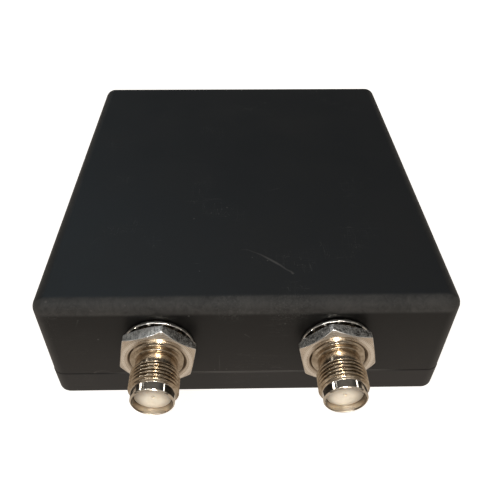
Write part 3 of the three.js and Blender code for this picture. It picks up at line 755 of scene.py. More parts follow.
def block(xs, ys, zs, radius=None, name="tool", material=None):
    """A box between pairs of limits, with upright edges rounded if a radius is given."""
    (x0, x1), (y0, y1), (z0, z1) = sorted(xs), sorted(ys), sorted(zs)
    if radius:
        return loft([rounded(x1 - x0, y1 - y0, radius, z, 5, (x0 + x1) / 2, (y0 + y1) / 2)
                     for z in (z0, z1)], name, material)
    verts = [(x, y, z) for z in (z0, z1) for x, y in ((x0, y0), (x1, y0), (x1, y1), (x0, y1))]
    faces = [(3, 2, 1, 0), (4, 5, 6, 7), (0, 1, 5, 4), (1, 2, 6, 5), (2, 3, 7, 6), (3, 0, 4, 7)]
    return new_mesh(name, verts, faces, material)


def thread_wave(t, pitch, turn):
    """Thread height, 0 at the root to 1 at the crest."""
    phase = t / pitch - turn / (2 * np.pi)
    h = np.clip((np.abs((phase % 1.0) - 0.5) * 2 - 0.13) / 0.72, 0, 1)
    return 0.55 * h + 0.45 * h * h * (3 - 2 * h)


def flat_radius(turn, height):
    """Radius to a flat at this height below the axis; very large away from it."""
    down = -np.sin(turn)
    return np.where(down > 0.05, height / np.maximum(down, 1e-6), 99.0)


# ------------------------------------------------------------------ top housing
DRAFT = 0.14         # the walls lean in by this at the shoulder
CAVITY_R = 1.8       # upright corners of the cavity
CAVITY_TOP_R = 0.9


def housing_shell():
    steps = 12
    rings = [rounded(W - 0.34, D - 0.34, CORNER_R - 0.17, PART_Z, steps),
             rounded(W - 0.2, D - 0.2, CORNER_R - 0.10, PART_Z + 0.06, steps),
             rounded(W - 0.16, D - 0.16, CORNER_R - 0.08, PART_Z + 0.2, steps)]
    for i in range(steps + 1):
        angle = math.radians(90 * i / steps)
        lean = TOP_R * (1 - math.cos(angle))
        inset = DRAFT + lean
        rings.append(rounded(W - 2 * inset, D - 2 * inset, max(CORNER_R - lean, 0.2),
                             SHOULDER + TOP_R * math.sin(angle), steps))
    ob = loft(rings, "housing_shell", CASE)
    cavity = [rounded(W - 2 * WALL, D - 2 * WALL, CAVITY_R, PART_Z - 1, 6)]
    for i in range(5):
        angle = math.radians(90 * i / 4)
        inset = CAVITY_TOP_R * (1 - math.cos(angle))
        cavity.append(rounded(W - 2 * WALL - 2 * inset, D - 2 * WALL - 2 * inset,
                              CAVITY_R - inset,
                              ROOF_Z - CAVITY_TOP_R + CAVITY_TOP_R * math.sin(angle), 6))
    cut(ob, loft(cavity))
    return ob


def add_housing_posts(ob):
    """Corner bosses with two webs each, board posts, and two crossed roof ribs."""
    web_z = (10.2, ROOF_Z + 0.6)
    for x, y in CORNERS.values():
        join(ob, cylinder(3.6, 6.3, ROOF_Z + 0.6, x, y, 40, end_radius=3.9))
        join(ob, block((x, math.copysign(1, x) * (W / 2 - 1)), (y - 0.8, y + 0.8), web_z))
        join(ob, block((x - 0.8, x + 0.8), (y, math.copysign(1, y) * (D / 2 - 1)), web_z))
    post = [(0, BOARD_HIGH + 0.05), (2.85, BOARD_HIGH + 0.05), (3.0, BOARD_HIGH + 0.2),
            (3.0, 24.75), (4.25, 24.75), (4.4, 24.9), (4.5, ROOF_Z + 0.6), (0, ROOF_Z + 0.6)]
    for place in POSTS.values():
        join(ob, revolve(post, up_z(*place), 40))
    for half_x, half_y in ((0.7, 23), (33, 0.7)):
        join(ob, block((-half_x, half_x), (-half_y, half_y), (ROOF_Z - 1.5, ROOF_Z + 0.4)))


def housing_holes():
    """Screw holes, the flatted jack holes, and the round holes in the back wall."""
    screw_hole = [(0, 5.5), (2.1, 5.5), (2.1, 6.4), (1.6, 6.9), (1.6, 16.2), (0, 16.6)]
    tools = [revolve(screw_hole, up_z(*place), 28) for place in CORNERS.values()]
    tools += [cylinder(1.2, 20.5, 27.0, x, y, 24) for x, y in POSTS.values()]
    segments = 72
    radius = np.minimum(6.42, flat_radius(angles(segments), 5.75))
    rows = [(0, -3.5), (radius, -3.5), (radius, -0.25), (radius + 0.25, 0.02),
            (radius + 0.3, 1), (0, 1)]
    tools += [revolve(rows, out_of_front(*place), segments) for place in JACKS.values()]
    for x, z, radius in ((SOCKET_X, SOCKET_Z, 4.62), (PIPE_X, PIPE_Z, 1.72)):
        rows = [(0, -3.5), (radius, -3.5), (radius, -0.3), (radius + 0.3, 0.03),
                (radius + 0.35, 1), (0, 1)]
        tools.append(revolve(rows, along_y(x, z, BACK), 56))
    return merge(tools)


def build_housing():
    ob = housing_shell()
    add_housing_posts(ob)
    cut(ob, housing_holes())
    recoat(ob, 35, CASE, CASE_ROOF)
    for face in ob.data.polygons:
        face.material_index = int(face.center.z > (H - 0.02) * MM)
    weigh_normals(ob)
    assign(ob, "top_housing")


# ------------------------------------------------------------------ base cover
LIP_OUT = WALL + 0.25    # the lip's outer face, in from the housing's outside
LIP_IN = LIP_OUT + 1.0
BASE_TOP = PART_Z - 0.045
# growth of width and depth, growth of corner radius, z
BASE_RINGS = [
    (-0.66, -0.33, 0.0), (-0.42, -0.21, 0.05), (-0.22, -0.11, 0.2), (-0.12, -0.06, 0.5),
    (-0.08, -0.04, 1.2), (0.06, 0.03, BASE_TOP - 0.3), (0.03, 0.01, BASE_TOP - 0.16),
    (-0.08, -0.04, BASE_TOP - 0.05), (-0.3, -0.15, BASE_TOP)]


def build_base():
    width, depth = W - 0.02, D - 0.02
    ob = loft([rounded(width + grow, depth + grow, CORNER_R + corner, z, 12)
               for grow, corner, z in BASE_RINGS], "base_tray", BASE)
    outer_w, outer_d = W - 2 * LIP_OUT, D - 2 * LIP_OUT
    inner_w, inner_d = W - 2 * LIP_IN, D - 2 * LIP_IN
    lip_top = box_mm("base_cover")[1][2]
    join(ob, loft([rounded(outer_w, outer_d, 1.6, FLOOR, 6),
                   rounded(outer_w, outer_d, 1.6, lip_top - 0.35, 6),
                   rounded(outer_w - 0.5, outer_d - 0.5, 1.35, lip_top, 6)]))
    cut(ob, loft([rounded(inner_w - 0.5, inner_d - 0.5, 0.6, FLOOR, 6),
                  rounded(inner_w, inner_d, 0.85, FLOOR + 0.3, 6),
                  rounded(inner_w, inner_d, 0.85, 12, 6)]))
    for x, y in CORNERS.values():
        join(ob, cylinder(4.7, FLOOR - 0.5, 6.0, x, y, 40, end_radius=4.5))
    for y in (-24, 24):
        join(ob, block((-30, 30), (y - 0.7, y + 0.7), (FLOOR - 0.3, FLOOR + 1.4)))
    # gap in the lip for the power socket
    socket_low, socket_high = box_mm("dc_socket")
    cut(ob, block((socket_low[0] - 0.5, socket_high[0] + 0.5),
                  (D / 2 - LIP_IN - 0.6, D / 2 - LIP_OUT + 0.7), (PART_Z - 0.3, 13)))
    # at each corner, a stepped screw hole and slots in the lip for the housing's webs
    screw_hole = [(0, -1), (3.85, -1), (3.85, 0.0), (3.5, 0.35), (3.45, 3.05), (1.75, 3.1),
                  (1.75, 8), (0, 8)]

    def slot_span(side, size):
        sign = math.copysign(1, side)
        return sign * (size / 2 - LIP_IN - 2.2), sign * (size / 2 - WALL + 0.2)

    slot_z = (7.95, 16)
    for x, y in CORNERS.values():
        cut(ob, revolve(screw_hole, up_z(x, y), 40))
        cut(ob, block((x - 1.15, x + 1.15), slot_span(y, D), slot_z))
        cut(ob, block(slot_span(x, W), (y - 1.15, y + 1.15), slot_z))
    smooth(ob, 35)
    weigh_normals(ob)
    assign(ob, "base_cover", body="base")


# ------------------------------------------------------------------ jacks
FLAT_HEIGHT = 5.5    # jack axis to the flat on the mounting thread
MOUNT_END = 5.5      # end of the mounting thread, in front of the wall


def front_span(node):
    """A node's near and far distances in front of the wall."""
    low, high = box_mm(node)
    return FRONT - high[1], FRONT - low[1]


def build_jack_body(side, x, z):
    """Shell: inner barrel, flange with a ring groove, mounting thread, mating thread, bore."""
    segments = 144
    turn = angles(segments)
    flat = flat_radius(turn, FLAT_HEIGHT)
    # all rows are (radius, distance in front of the wall)
    rows = [(3.0, -10.05), (3.12, -10.2), (4.08, -10.2), (4.2, -10.08), (4.2, -5.75),
            (4.3, -5.5), (4.5, -5.4), (8.5, -5.4), (8.65, -5.34), (8.7, -5.2), (8.7, -2.55),
            (8.64, -2.4), (8.5, -2.35), (8.15, -2.35), (8.15, -3.35), (6.85, -3.35),
            (6.85, -2.35), (6.4, -2.33)]
    for t in np.arange(-2.3, MOUNT_END + 0.001, 0.075):
        crest = 6.2 - 0.36 * np.clip((t - MOUNT_END + 0.3) / 0.3, 0, 1)
        root = min(5.66, crest)
        radius = root + (crest - root) * thread_wave(t, PITCH, turn)
        rows.append((np.minimum(radius, flat), t))
    rows += raised([(5.70, 0.03), (5.58, 0.04), (5.2, 0.045), (5.02, 0.055), (4.92, 0.10),
                    (4.85, 0.2), (4.81, 0.34), (4.8, 0.5)], MOUNT_END)
    rows += [(4.8, 6.6), (4.8, 7.5), (4.8, 8.2), (4.8, 8.72), (4.8, 8.78), (4.82, 8.85)]
    for t in np.arange(8.92, 14.06, 0.0454):
        crest = 4.86 + 0.695 * min(np.clip((t - 8.9) / 0.42, 0, 1),
                                   np.clip((14.1 - t) / 0.55, 0, 1))
        root = min(5.04, crest)
        rows.append((root + (crest - root) * thread_wave(t, PITCH, turn), t))
    rows += [(4.86, 14.1), (4.83, 14.16), (4.83, 14.2), (4.83, 15.2), (4.83, 15.93),
             (4.83, 15.97), (4.80, 16.03), (4.62, 16.24), (4.57, 16.29), (4.53, 16.3),
             (4.45, 16.3), (4.40, 16.27), (4.36, 16.18), (4.31, 15.9), (4.22, 15.35),
             (4.14, 14.9), (4.12, 14.6), (4.12, 12.0), (4.12, 7.35), (4.0, 7.22), (3.9, 7.2),
             (3.1, 7.2), (3.0, 7.05), (3.0, 0.0)]
    ob = revolve(rows, out_of_front(x, z), segments, f"jack_shell_{side}", NICKEL, angle=48)
    # two legs up towards the board
    for sign in (-1, 1):
        join(ob, block((x + sign * 3.05, x + sign * 4.25), (FRONT + 9.4, FRONT + 17.0),
                       (18.34, BOARD_LOW - 0.06)))
    recoat(ob, 48, NICKEL)
    assign(ob, f"tnc_body_{side}")


def build_nut(side, x, z, corner_deg, clean_and_sheen):
    """Hex nut with one corner at corner_deg, from +X towards +Z."""
    segments = 216
    turn = angles(segments)
    near, far = front_span(f"hex_nut_{side}")
    across_flats, corner_radius, corner_softness = 16.5, 9.45, 0.05
    chamfer_r = 7.9
    chamfer = math.tan(math.radians(30))
    hexagon = across_flats / 2 / np.cos(
        np.radians((np.degrees(turn) - corner_deg) % 60 - 30))
    hexagon = -corner_softness * np.log(np.exp(-hexagon / corner_softness)
                                        + np.exp(-corner_radius / corner_softness))
    top = far - np.maximum(hexagon - chamfer_r, 0) * chamfer
    bottom = near + np.maximum(hexagon - 8.3, 0) * math.tan(math.radians(22))
    rows = [(6.30 + 0.34 * (1 - thread_wave(t, PITCH, turn)), t)
            for t in np.arange(near + 0.42, far - 0.46, 0.075)]
    # the front face has a fine groove
    rows += raised([(6.34, -0.44), (6.70, -0.06), (6.76, -0.01), (6.84, 0), (7.16, 0),
                    (7.19, -0.035), (7.23, -0.035), (7.26, 0), (7.7, 0), (chamfer_r, 0)], far)
    for part in (0.33, 0.66, 0.9):
        rise = (hexagon - chamfer_r) * part
        rows.append((chamfer_r + rise, far - np.maximum(rise, 0) * chamfer))
    edge = top + 0.11 * chamfer
    edge_row = len(rows)
    rows += [(hexagon - 0.11, edge), (hexagon - 0.055, edge - 0.05),
             (hexagon - 0.018, edge - 0.115), (hexagon, edge - 0.19), (hexagon, edge - 0.3),
             (hexagon, (top + bottom) / 2), (hexagon, bottom + 0.08),
             (hexagon - 0.06, bottom + 0.005), (8.24, near + 0.005), (7.6, near), (6.72, near),
             (6.32, near + 0.4)]
    material = nut_metal(f"nut_nickel_{side}", x, z, corner_deg, clean_and_sheen)
    ob = revolve(rows, out_of_front(x, z), segments, f"panel_nut_{side}", material, angle=19)
    # the rounded edge rows get the painted-highlight nickel
    ob.data.materials.append(NUT_EDGE_HIGHLIGHT)
    for i, face in enumerate(ob.data.polygons):
        if edge_row * segments <= i < (edge_row + 3) * segments:
            face.material_index = 1
    assign(ob, f"hex_nut_{side}", body=f"{side}_nut")


# place across the washer, 0 at the rim to 1 at the tooth tip, and how much thinner it is there
WASHER_STATIONS = [
    (0.0, 0.24), (0.03, 0.15), (0.08, 0.08), (0.15, 0.03), (0.24, 0.0), (0.34, 0.0),
    (0.46, 0.0), (0.62, 0.0), (0.78, 0.0), (0.93, 0.03), (1.0, 0.08)]


def build_lock_washer(side, x, z, start):
    """A plain rim with inward teeth, each twisted about its own radius."""
    node = f"lock_washer_{side}"
    low, high = box_mm(node)
    rim_r, gap_r, tooth_r = (high[0] - low[0]) / 2, 7.86, 6.55
    rim_half, tooth_half = 0.38, 0.2  # half thicknesses
    middle_t = front_span(node)[0] + rim_half
    teeth, per_tooth = 16, 24
    segments = teeth * per_tooth
    u = ((np.arange(segments) + start) % per_tooth) / per_tooth
    tooth = np.clip((0.235 - np.abs(u - 0.5)) / 0.012, 0, 1)
    inner = gap_r - (gap_r - tooth_r) * tooth
    top, bottom = [], []
    for part, thinner in WASHER_STATIONS:
        radius = rim_r + (inner - rim_r) * part
        toothed = np.clip((8.0 - radius) / 0.35, 0, 1)
        twist = np.clip(2.8 * (u - 0.40) * toothed, -0.12, 0.44) * (tooth > 0)
        half = rim_half + (tooth_half - rim_half) * toothed - thinner
        top.append((radius, middle_t + half + twist))
        bottom.append((radius, middle_t - half + twist))
    ob = revolve(top + bottom[::-1], out_of_front(x, z), segments, f"tooth_washer_{side}",
                 WASHER, angle=38)
    assign(ob, node, body=f"{side}_lock_washer")


def build_jack_inside(side, x, z):
    """Insulator, slotted centre contact and seal ring."""
    place = out_of_front(x, z)
    rows = [(1.25, -10.1), (1.33, -10.2), (2.65, -10.2), (2.75, -10.1), (2.75, 7.35),
            (2.8, 7.45), (4.0, 7.45), (4.08, 7.55), (4.09, 14.62), (4.085, 14.72),
            (4.05, 14.79), (3.95, 14.82), (2.8, 14.83), (1.9, 14.81), (0.95, 14.80),
            (0.5, 14.78), (0.40, 14.73), (0.36, 14.6), (0.36, 14.12), (1.2, 14.1), (1.25, 14.0)]
    ob = revolve(rows, place, 72, f"jack_insulator_{side}", PTFE, angle=30)
    assign(ob, f"tnc_insulator_{side}")

    rows = [(0, -14.6), (0.45, -14.6), (0.6, -14.3), (0.6, -9.7), (0.72, -9.6), (1.0, -9.6),
            (1.05, -9.5), (1.05, 13.3), (0.98, 13.5), (0.9, 13.6), (0.78, 13.6), (0.68, 13.45),
            (0.68, 9.5), (0, 9.2)]
    ob = revolve(rows, place, 40, f"jack_contact_{side}", GOLD, angle=30)
    for half_x, half_z in ((0.09, 2), (2, 0.09)):
        cut(ob, block((x - half_x, x + half_x), (FRONT - 14, FRONT - 10.2),
                      (z - half_z, z + half_z)))
    recoat(ob, 30, GOLD)
    assign(ob, f"tnc_contact_{side}")

    ring = [(7.5 + 0.56 * math.cos(a), -2.82 + 0.45 * math.sin(a))
            for a in (2 * math.pi * i / 14 for i in range(14))]
    ob = revolve(ring, place, 96, f"seal_ring_{side}", RUBBER, angle=60)
    assign(ob, f"o_ring_{side}")


# ------------------------------------------------------------------ screws
def machine_screw(name, x, y, head_r, head_z, shank_r, root_r, tip, pitch, recess):
    """An upward screw: domed head below, from head_z[0] to head_z[1], with a cross recess."""
    segments = 48
    turn = angles(segments)
    low, high = head_z
    rows = []
    for i in range(7):
        angle = math.radians(90 * i / 6)
        rows.append((head_r * math.sin(angle) ** 0.75 if i else 0.0,
                     low + (high - low) * 0.55 * (1 - math.cos(angle))))
    rows += raised([(head_r, -0.25), (head_r - 0.03, -0.06), (head_r - 0.12, 0),
                    (shank_r + 0.15, 0), (shank_r, 0.12), (root_r + 0.05, 0.45)], high)
    for t in np.arange(high + 0.5, tip - 0.3, pitch / 12):
        taper = np.clip((tip - t) / 1.6, 0.25, 1)
        root = root_r * taper
        crest = (root_r + (shank_r - root_r) * np.clip((t - high - 0.5) / 0.6, 0, 1)) * taper
        rows.append((root + (crest - root) * thread_wave(t, pitch, turn) ** 2.2, t))
    rows.append((0.0, tip))
    ob = revolve(rows, up_z(x, y), segments, name, SCREW, angle=45)
    narrow = recess * 0.21
    for a, b in ((recess, narrow), (narrow, recess)):
        cut(ob, loft([rounded(a * 2, b * 2, 0.02, low - 0.5, 1, x, y),
                      rounded(a * 1.7, b * 1.8, 0.02, low + 0.3, 1, x, y),
                      rounded(a * 0.7, b * 1.2, 0.02, low + 1.25, 1, x, y)]))
    recoat(ob, 40, SCREW)
    return ob


def build_case_screws():
    for corner, (x, y) in CORNERS.items():
        node = f"base_screw_{corner}"
        low, high = box_mm(node)
        ob = machine_screw(f"case_screw_{corner}", x, y, head_r=2.75, head_z=(low[2], 2.3),
                           shank_r=1.42, root_r=1.05, tip=high[2], pitch=1.34, recess=1.6)
        assign(ob, node, body=f"screw_{corner}")
        node = f"base_washer_{corner}"
        low, high = box_mm(node)
        rows = raised([(1.7, 0.1), (1.78, 0), (2.95, 0), (3.05, 0.08), (3.08, 0.2)], low[2])
        rows += raised([(3.08, -0.1), (2.98, 0), (1.78, 0), (1.7, -0.1)], high[2])
        ob = revolve(rows, up_z(x, y), 48, f"screw_washer_{corner}", SCREW, angle=30)
        assign(ob, node, body=f"washer_{corner}")


build_housing()
build_base()
# side, angle of the nut's burred corner with its painted highlight, strength of the painted sheen
# on the side next to it, start of the washer's teeth
for side, corner_deg, clean_and_sheen, start in (("left", 79, 1.0, 5), ("right", 103, 0.25, 13)):
    x, z = JACKS[side]
    build_jack_body(side, x, z)
    build_nut(side, x, z, corner_deg, clean_and_sheen)
    build_lock_washer(side, x, z, start)
    build_jack_inside(side, x, z)
build_case_screws()


# ------------------------------------------------------------------ materials inside the case
def board_material():
    """Green mask over copper tracks, plated holes, tin along the cans, woven glass edges."""
    s = new_shader("circuit_board")
    x, y, z = s.xyz(s.mm)

    def lanes(along, across, pitch, run, width, seed, keep):
        """Rows of tracks, cut into runs of which a share is kept at random."""
        row = (across / pitch).math("FLOOR")
        column = (along / run + row * 0.37).math("FLOOR")
        random = s.node("TexWhiteNoise", {"Vector": s.combine(row, column, seed)}, "Value")
        off = abs((across / pitch).math("FRACT") - 0.5)
        return off.fade(width + 0.06, width - 0.02) * random.math("LESS_THAN", keep)

    tracks = s.larger(lanes(x, y, pitch=0.9, run=7.0, width=0.16, seed=3.0, keep=0.42),
                      lanes(y, x, pitch=1.1, run=6.0, width=0.14, seed=8.0, keep=0.3))
    pour = s.noise(0.09, detail=2, rough=0.4).fade(0.5, 0.51)
    copper = s.larger(tracks, pour * 0.8)
    distance, cell_colour = s.cells(0.34)
    drilled = s.xyz(cell_colour)[1].math("LESS_THAN", 0.5)
    ring = distance.fade(0.15, 0.13) * drilled
    hole = distance.fade(0.075, 0.06) * drilled
    low, high = box_mm("shield_frame_downlink")
    centre, half = (low + high) / 2, (high - low) / 2
    outside = s.larger(abs(abs(x) - centre[0]) - half[0], abs(y - centre[1]) - half[1])
    tin = abs(outside - 0.15).fade(0.75, 0.6)
    grain = s.noise(2.2)
    green = s.mix(copper, (0.010, 0.085, 0.036), (0.028, 0.155, 0.060))
    green = s.shaded(green, grain.ramp(out=(0.85, 1.15)))
    plated = s.larger(ring, tin)
    colour = s.mix(plated, green, s.mix(tin, (0.72, 0.52, 0.22), (0.62, 0.62, 0.60)))
    # painted shade: the drilled holes are painted near-black instead of cut
    colour = s.mix(hole, colour, (0.01, 0.01, 0.008))
    weave = ((x + y) * 7.0).math("SINE") * (z * 16.0).math("SINE")
    edge = abs(s.xyz(s.normal)[2]).math("LESS_THAN", 0.5)
    colour = s.mix(edge, colour, s.mix(weave.ramp(-1, 1), (0.20, 0.19, 0.07),
                                       (0.34, 0.32, 0.14)))
    height = copper * 0.6 + plated * 0.5 + hole * -1.0 + grain * 0.2
    return s.surface(Base_Color=colour, Metallic=plated * (1.0 - edge) * (1.0 - hole),
                     Roughness=grain.ramp(out=(0.24, 0.36)) + edge * 0.3,
                     Normal=s.bump(height, strength=0.5, depth=0.05))


HOLE_PITCH = 4.4     # three holes in a row on each duplexer


def ceramic_material():
    """Cream ceramic, plated round the holes."""
    s = new_shader("filter_ceramic")
    broad = s.noise(0.5)
    grain = s.noise(4.0, detail=3)
    plated = 0.0
    for node in ("duplexer_outside", "duplexer_inside"):
        x, y, _ = middle(node)
        for i in (-1, 0, 1):
            centre = (x + i * HOLE_PITCH, y, box_mm(node)[0][2])
            away = s.vector("LENGTH", s.vector("SUBTRACT", s.mm, centre), out="Value")
            plated = s.larger(plated, away.fade(1.95, 1.8))
    colour = s.mix(broad.ramp(), (0.56, 0.50, 0.40), (0.70, 0.65, 0.55))
    return s.surface(Base_Color=s.mix(plated, colour, (0.74, 0.73, 0.70)),
                     Metallic=plated * 0.9, Roughness=grain.ramp(out=(0.3, 0.46)),
                     Normal=s.bump(grain * 0.5 + plated * 0.5, strength=0.3, depth=0.05))


def can_material(name, y, z):
    """Bare aluminium with a dark half-moon on the +Y side of its lower face."""
    s = metal(name, (0.58, 0.58, 0.57), (0.78, 0.78, 0.77), rough=(0.16, 0.3),
              lines=(0.2, 0.2, 6.0))
    _, point_y, point_z = s.xyz(s.mm)
    moon = (point_y - y).fade(0.9, 1.05) * point_z.fade(z + 0.14, z + 0.08)
    return s.surface(Base_Color=s.mix(moon, s.current("Base Color"), (0.02, 0.02, 0.022)),
                     Metallic=1.0 - moon)


def lens_material(name, colour, rough, transmission):
    s = new_shader(name)
    broad = s.noise(0.9, detail=3, rough=0.5)
    grain = s.noise(8.0, detail=2, rough=0.5)
    paler = tuple(min(1.0, part * 1.12) for part in colour)
    return s.surface(Base_Color=s.mix(broad.ramp(), colour, paler),
                     Roughness=grain.ramp(out=(rough, rough + 0.1)),
                     Normal=s.bump(broad * 0.6 + grain * 0.4, strength=0.2, depth=0.03),
                     IOR=1.49, Transmission_Weight=transmission)


BOARD = board_material()
TIN = metal("shield_tin", (0.52, 0.52, 0.50), (0.74, 0.74, 0.71), rough=(0.2, 0.34),
            lines=(0.5, 7.0, 7.0), spots=0.3).owner
CHIP = soft_material("chip_black", (0.012, 0.012, 0.013), (0.022, 0.022, 0.023), rough=0.46,
                     scale=1.2, depth=0.04)
FERRITE = soft_material("chip_black_ferrite", (0.030, 0.030, 0.031), (0.055, 0.055, 0.056),
                        rough=0.6, scale=1.6, depth=0.07)
CERAMIC = ceramic_material()
SOCKET = soft_material("socket_black", (0.011, 0.011, 0.012), (0.019, 0.019, 0.020), rough=0.36,
                       scale=0.8, depth=0.04)
PIN = metal("pin_nickel", (0.60, 0.59, 0.56), (0.80, 0.79, 0.76), rough=(0.1, 0.2),
            lines=(0.0, 6.0, 0.0)).owner
LAMP = lens_material("led_lens", (0.50, 0.80, 0.56), rough=0.12, transmission=0.55)
PIPE = lens_material("light_pipe_lens", (0.80, 0.88, 0.84), rough=0.14, transmission=0.7)
HEAT = metal("heat_metal", (0.50, 0.51, 0.52), (0.72, 0.73, 0.74), rough=(0.26, 0.4),
             lines=(0.25, 9.0, 9.0), spots=0.4).owner
PAD = soft_material("thermal_rubber", (0.20, 0.25, 0.31), (0.27, 0.33, 0.40), rough=0.86,
                    scale=1.5, depth=0.12)


# ------------------------------------------------------------------ board and what hangs below it
def node_block(node, name, material, radius):
    """A block that fills a CAD node's box."""
    return block(*zip(*box_mm(node)), radius, name, material)


def keep_cad_parts():
    """The board and the shields' wall frames keep their CAD shape."""
    for node, material, width in (("main_pcb", BOARD, 0.08), ("shield_frame_uplink", TIN, 0.05),
                                  ("shield_frame_downlink", TIN, 0.05)):
        ob = frame["nodes"][node]
        ob.data.materials.clear()
        ob.data.materials.append(material)
        bevel(ob, width, angle=40)


def build_board_screws():
    for corner, (x, y) in POSTS.items():
        node = f"pcb_screw_{corner}"
        low, high = box_mm(node)
        ob = machine_screw(f"board_screw_{corner}", x, y, head_r=(high[0] - low[0]) / 2,
                           head_z=(low[2], BOARD_LOW - 0.08), shank_r=1.05, root_r=0.82,
                           tip=high[2], pitch=0.5, recess=1.35)
        assign(ob, node)


def build_shield_lid(side):
    """An open tray with six holes and a shallow groove round its face."""
    node, sheet = f"shield_lid_{side}", 0.35
    low, high = box_mm(node)
    face = low[2]
    x, y, _ = middle(node)

    def inset_block(inset, zs, radius):
        return block((low[0] + inset, high[0] - inset), (low[1] + inset, high[1] - inset), zs,
                     radius)

    ob = node_block(node, f"can_lid_{side}", TIN, radius=0.6)
    cut(ob, inset_block(sheet, (face + sheet, high[2] + 1), 0.3))
    cut(ob, merge([cylinder(0.9, face - 1, face + 1, x + i * 6, y + j * 9.5, 36)
                   for i in (-1, 1) for j in (-1, 0, 1)]))
    groove = inset_block(2.2, (face - 0.3, face + 0.1), 1.2)
    cut(groove, inset_block(2.8, (face - 0.5, face + 0.3), 0.9))
    cut(ob, groove)
    recoat(ob, 30, TIN)
    bevel(ob, 0.05)
    assign(ob, node)


def build_chip(node):
    """A package with a shallow round dimple near one corner of its face."""
    low, high = box_mm(node)
    ob = node_block(node, node + "_package", CHIP, radius=0.18)
    cut(ob, cylinder(0.32, low[2] - 1, low[2] + 0.07, low[0] + 0.8, high[1] - 0.8, 28))
    recoat(ob, 30, CHIP)
    bevel(ob, 0.07)
    assign(ob, node)


def build_inductor():
    node = "power_inductor"
    ob = node_block(node, "inductor_body", FERRITE, radius=1.3)
    dish = [(0, -0.5), (1.9, -0.5), (1.9, -0.01), (1.55, 0.3), (1.5, 0.88), (0, 0.9)]
    cut(ob, revolve(raised(dish, box_mm(node)[0][2]), up_z(*middle(node)[:2]), 48))
    recoat(ob, 30, FERRITE)
    bevel(ob, 0.22, segments=3)
    assign(ob, node)


def build_duplexer(side):
    node = f"duplexer_{side}"
    x, y, _ = middle(node)
    ob = node_block(node, node + "_block", CERAMIC, radius=0.35)
    hole = raised([(0, -0.5), (1.35, -0.5), (1.35, 0), (1.1, 0.25), (1.08, 1.8), (0, 1.8)],
                  box_mm(node)[0][2])
    cut(ob, merge([revolve(hole, up_z(x + i * HOLE_PITCH, y), 40) for i in (-1, 0, 1)]))
    recoat(ob, 30, CERAMIC)
    bevel(ob, 0.12)
    assign(ob, node)


def build_capacitor(number):
    """A can with a crimped neck and a cross scored in its lower face."""
    node = f"capacitor_{number}"
    low, high = box_mm(node)
    x, y, _ = middle(node)
    face = low[2]
    rows = raised([(0, 0.1), (2.55, 0.1), (2.68, 0.03), (2.82, 0), (2.98, 0.06), (3.09, 0.2),
                   (3.15, 0.45), (3.15, 3.0), (3.15, 6.35), (3.11, 6.55), (3.0, 6.72),
                   (2.92, 6.85), (2.9, 6.95), (2.92, 7.05), (3.02, 7.2), (3.12, 7.34),
                   (3.15, 7.5)], face)
    rows += raised([(3.15, -0.25), (3.08, -0.08), (2.9, 0), (0, 0)], high[2])
    material = can_material(f"capacitor_can_{number}", y, face)
    ob = revolve(rows, up_z(x, y), 72, f"capacitor_{number}_can", material, angle=40)
    for half_x, half_y in ((1.9, 0.07), (0.07, 1.9)):
        cut(ob, block((x - half_x, x + half_x), (y - half_y, y + half_y),
                      (face - 0.5, face + 0.17)))
    recoat(ob, 40, material)
    assign(ob, node)


def build_power_socket():
    """A block behind the wall, a round barrel through it, and a bore with a centre pin."""
    low, high = box_mm("dc_socket")
    body_end, mouth = BACK - WALL - 0.5, high[1]
    place = along_y(SOCKET_X, SOCKET_Z)
    ob = block((low[0], high[0]), (low[1], body_end), (low[2], high[2]), 0.3, "power_socket",
               SOCKET)
    barrel = [(0, body_end - 1), (4.4, body_end - 1), (4.4, mouth - 0.3), (4.3, mouth - 0.1),
              (4.1, mouth), (0, mouth)]
    join(ob, revolve(barrel, place, 72))
    bore = [(0, -9.4), (3.1, -9.4), (3.15, -9.2), (3.15, -0.5), (3.25, -0.3), (3.6, 0.02),
            (3.7, 1), (0, 1)]
    cut(ob, revolve(raised(bore, mouth), place, 64))
    recoat(ob, 35, SOCKET)
    assign(ob, "dc_socket")

    low, high = box_mm("dc_socket_pin")
    radius = (high[0] - low[0]) / 2
    rows = raised([(0, 0), (radius, 0), (radius, 1)], low[1])
    rows += raised([(radius, -0.75), (radius * 0.97, -0.5), (radius * 0.85, -0.24),
                    (radius * 0.62, -0.07), (radius * 0.3, 0), (0, 0)], high[1])
    ob = revolve(rows, place, 48, "power_socket_pin", PIN, angle=40)
    assign(ob, "dc_socket_pin")


def build_lamp():
    """A domed lens pointing down, with two leads above its flange, and its light pipe."""
    low, high = box_mm("status_led")
    x, y, _ = middle("status_led")
    top = high[2] - 1.04
    rows = raised([(0, 0), (0.4, 0.04), (0.8, 0.2), (1.12, 0.48), (1.36, 0.9), (1.48, 1.45),
                   (1.5, 2.0)], low[2])
    rows += raised([(1.5, -0.85), (1.55, -0.8), (1.78, -0.8), (1.8, -0.72), (1.8, -0.05),
                    (1.75, 0), (0, 0)], top)
    ob = revolve(rows, up_z(x, y), 56, "lamp", LAMP, angle=35)
    for offset in (-0.9, 0.9):
        join(ob, block((x + offset - 0.25, x + offset + 0.25), (y - 0.25, y + 0.25),
                       (top - 0.3, high[2])))
    recoat(ob, 35, LAMP)
    assign(ob, "status_led")

    low, high = box_mm("light_pipe")
    rows = raised([(0, 0), (2.3, 0), (2.4, 0.1), (2.4, 0.8), (2.3, 0.9), (1.58, 0.9),
                   (1.5, 1.0)], low[1])
    rows += raised([(1.5, -0.5), (1.46, -0.32), (1.3, -0.16), (0.95, -0.05), (0.5, -0.01),
                    (0, 0)], high[1])
    ob = revolve(rows, along_y(PIPE_X, PIPE_Z), 56, "lamp_light_pipe", PIPE, angle=35)
    assign(ob, "light_pipe")


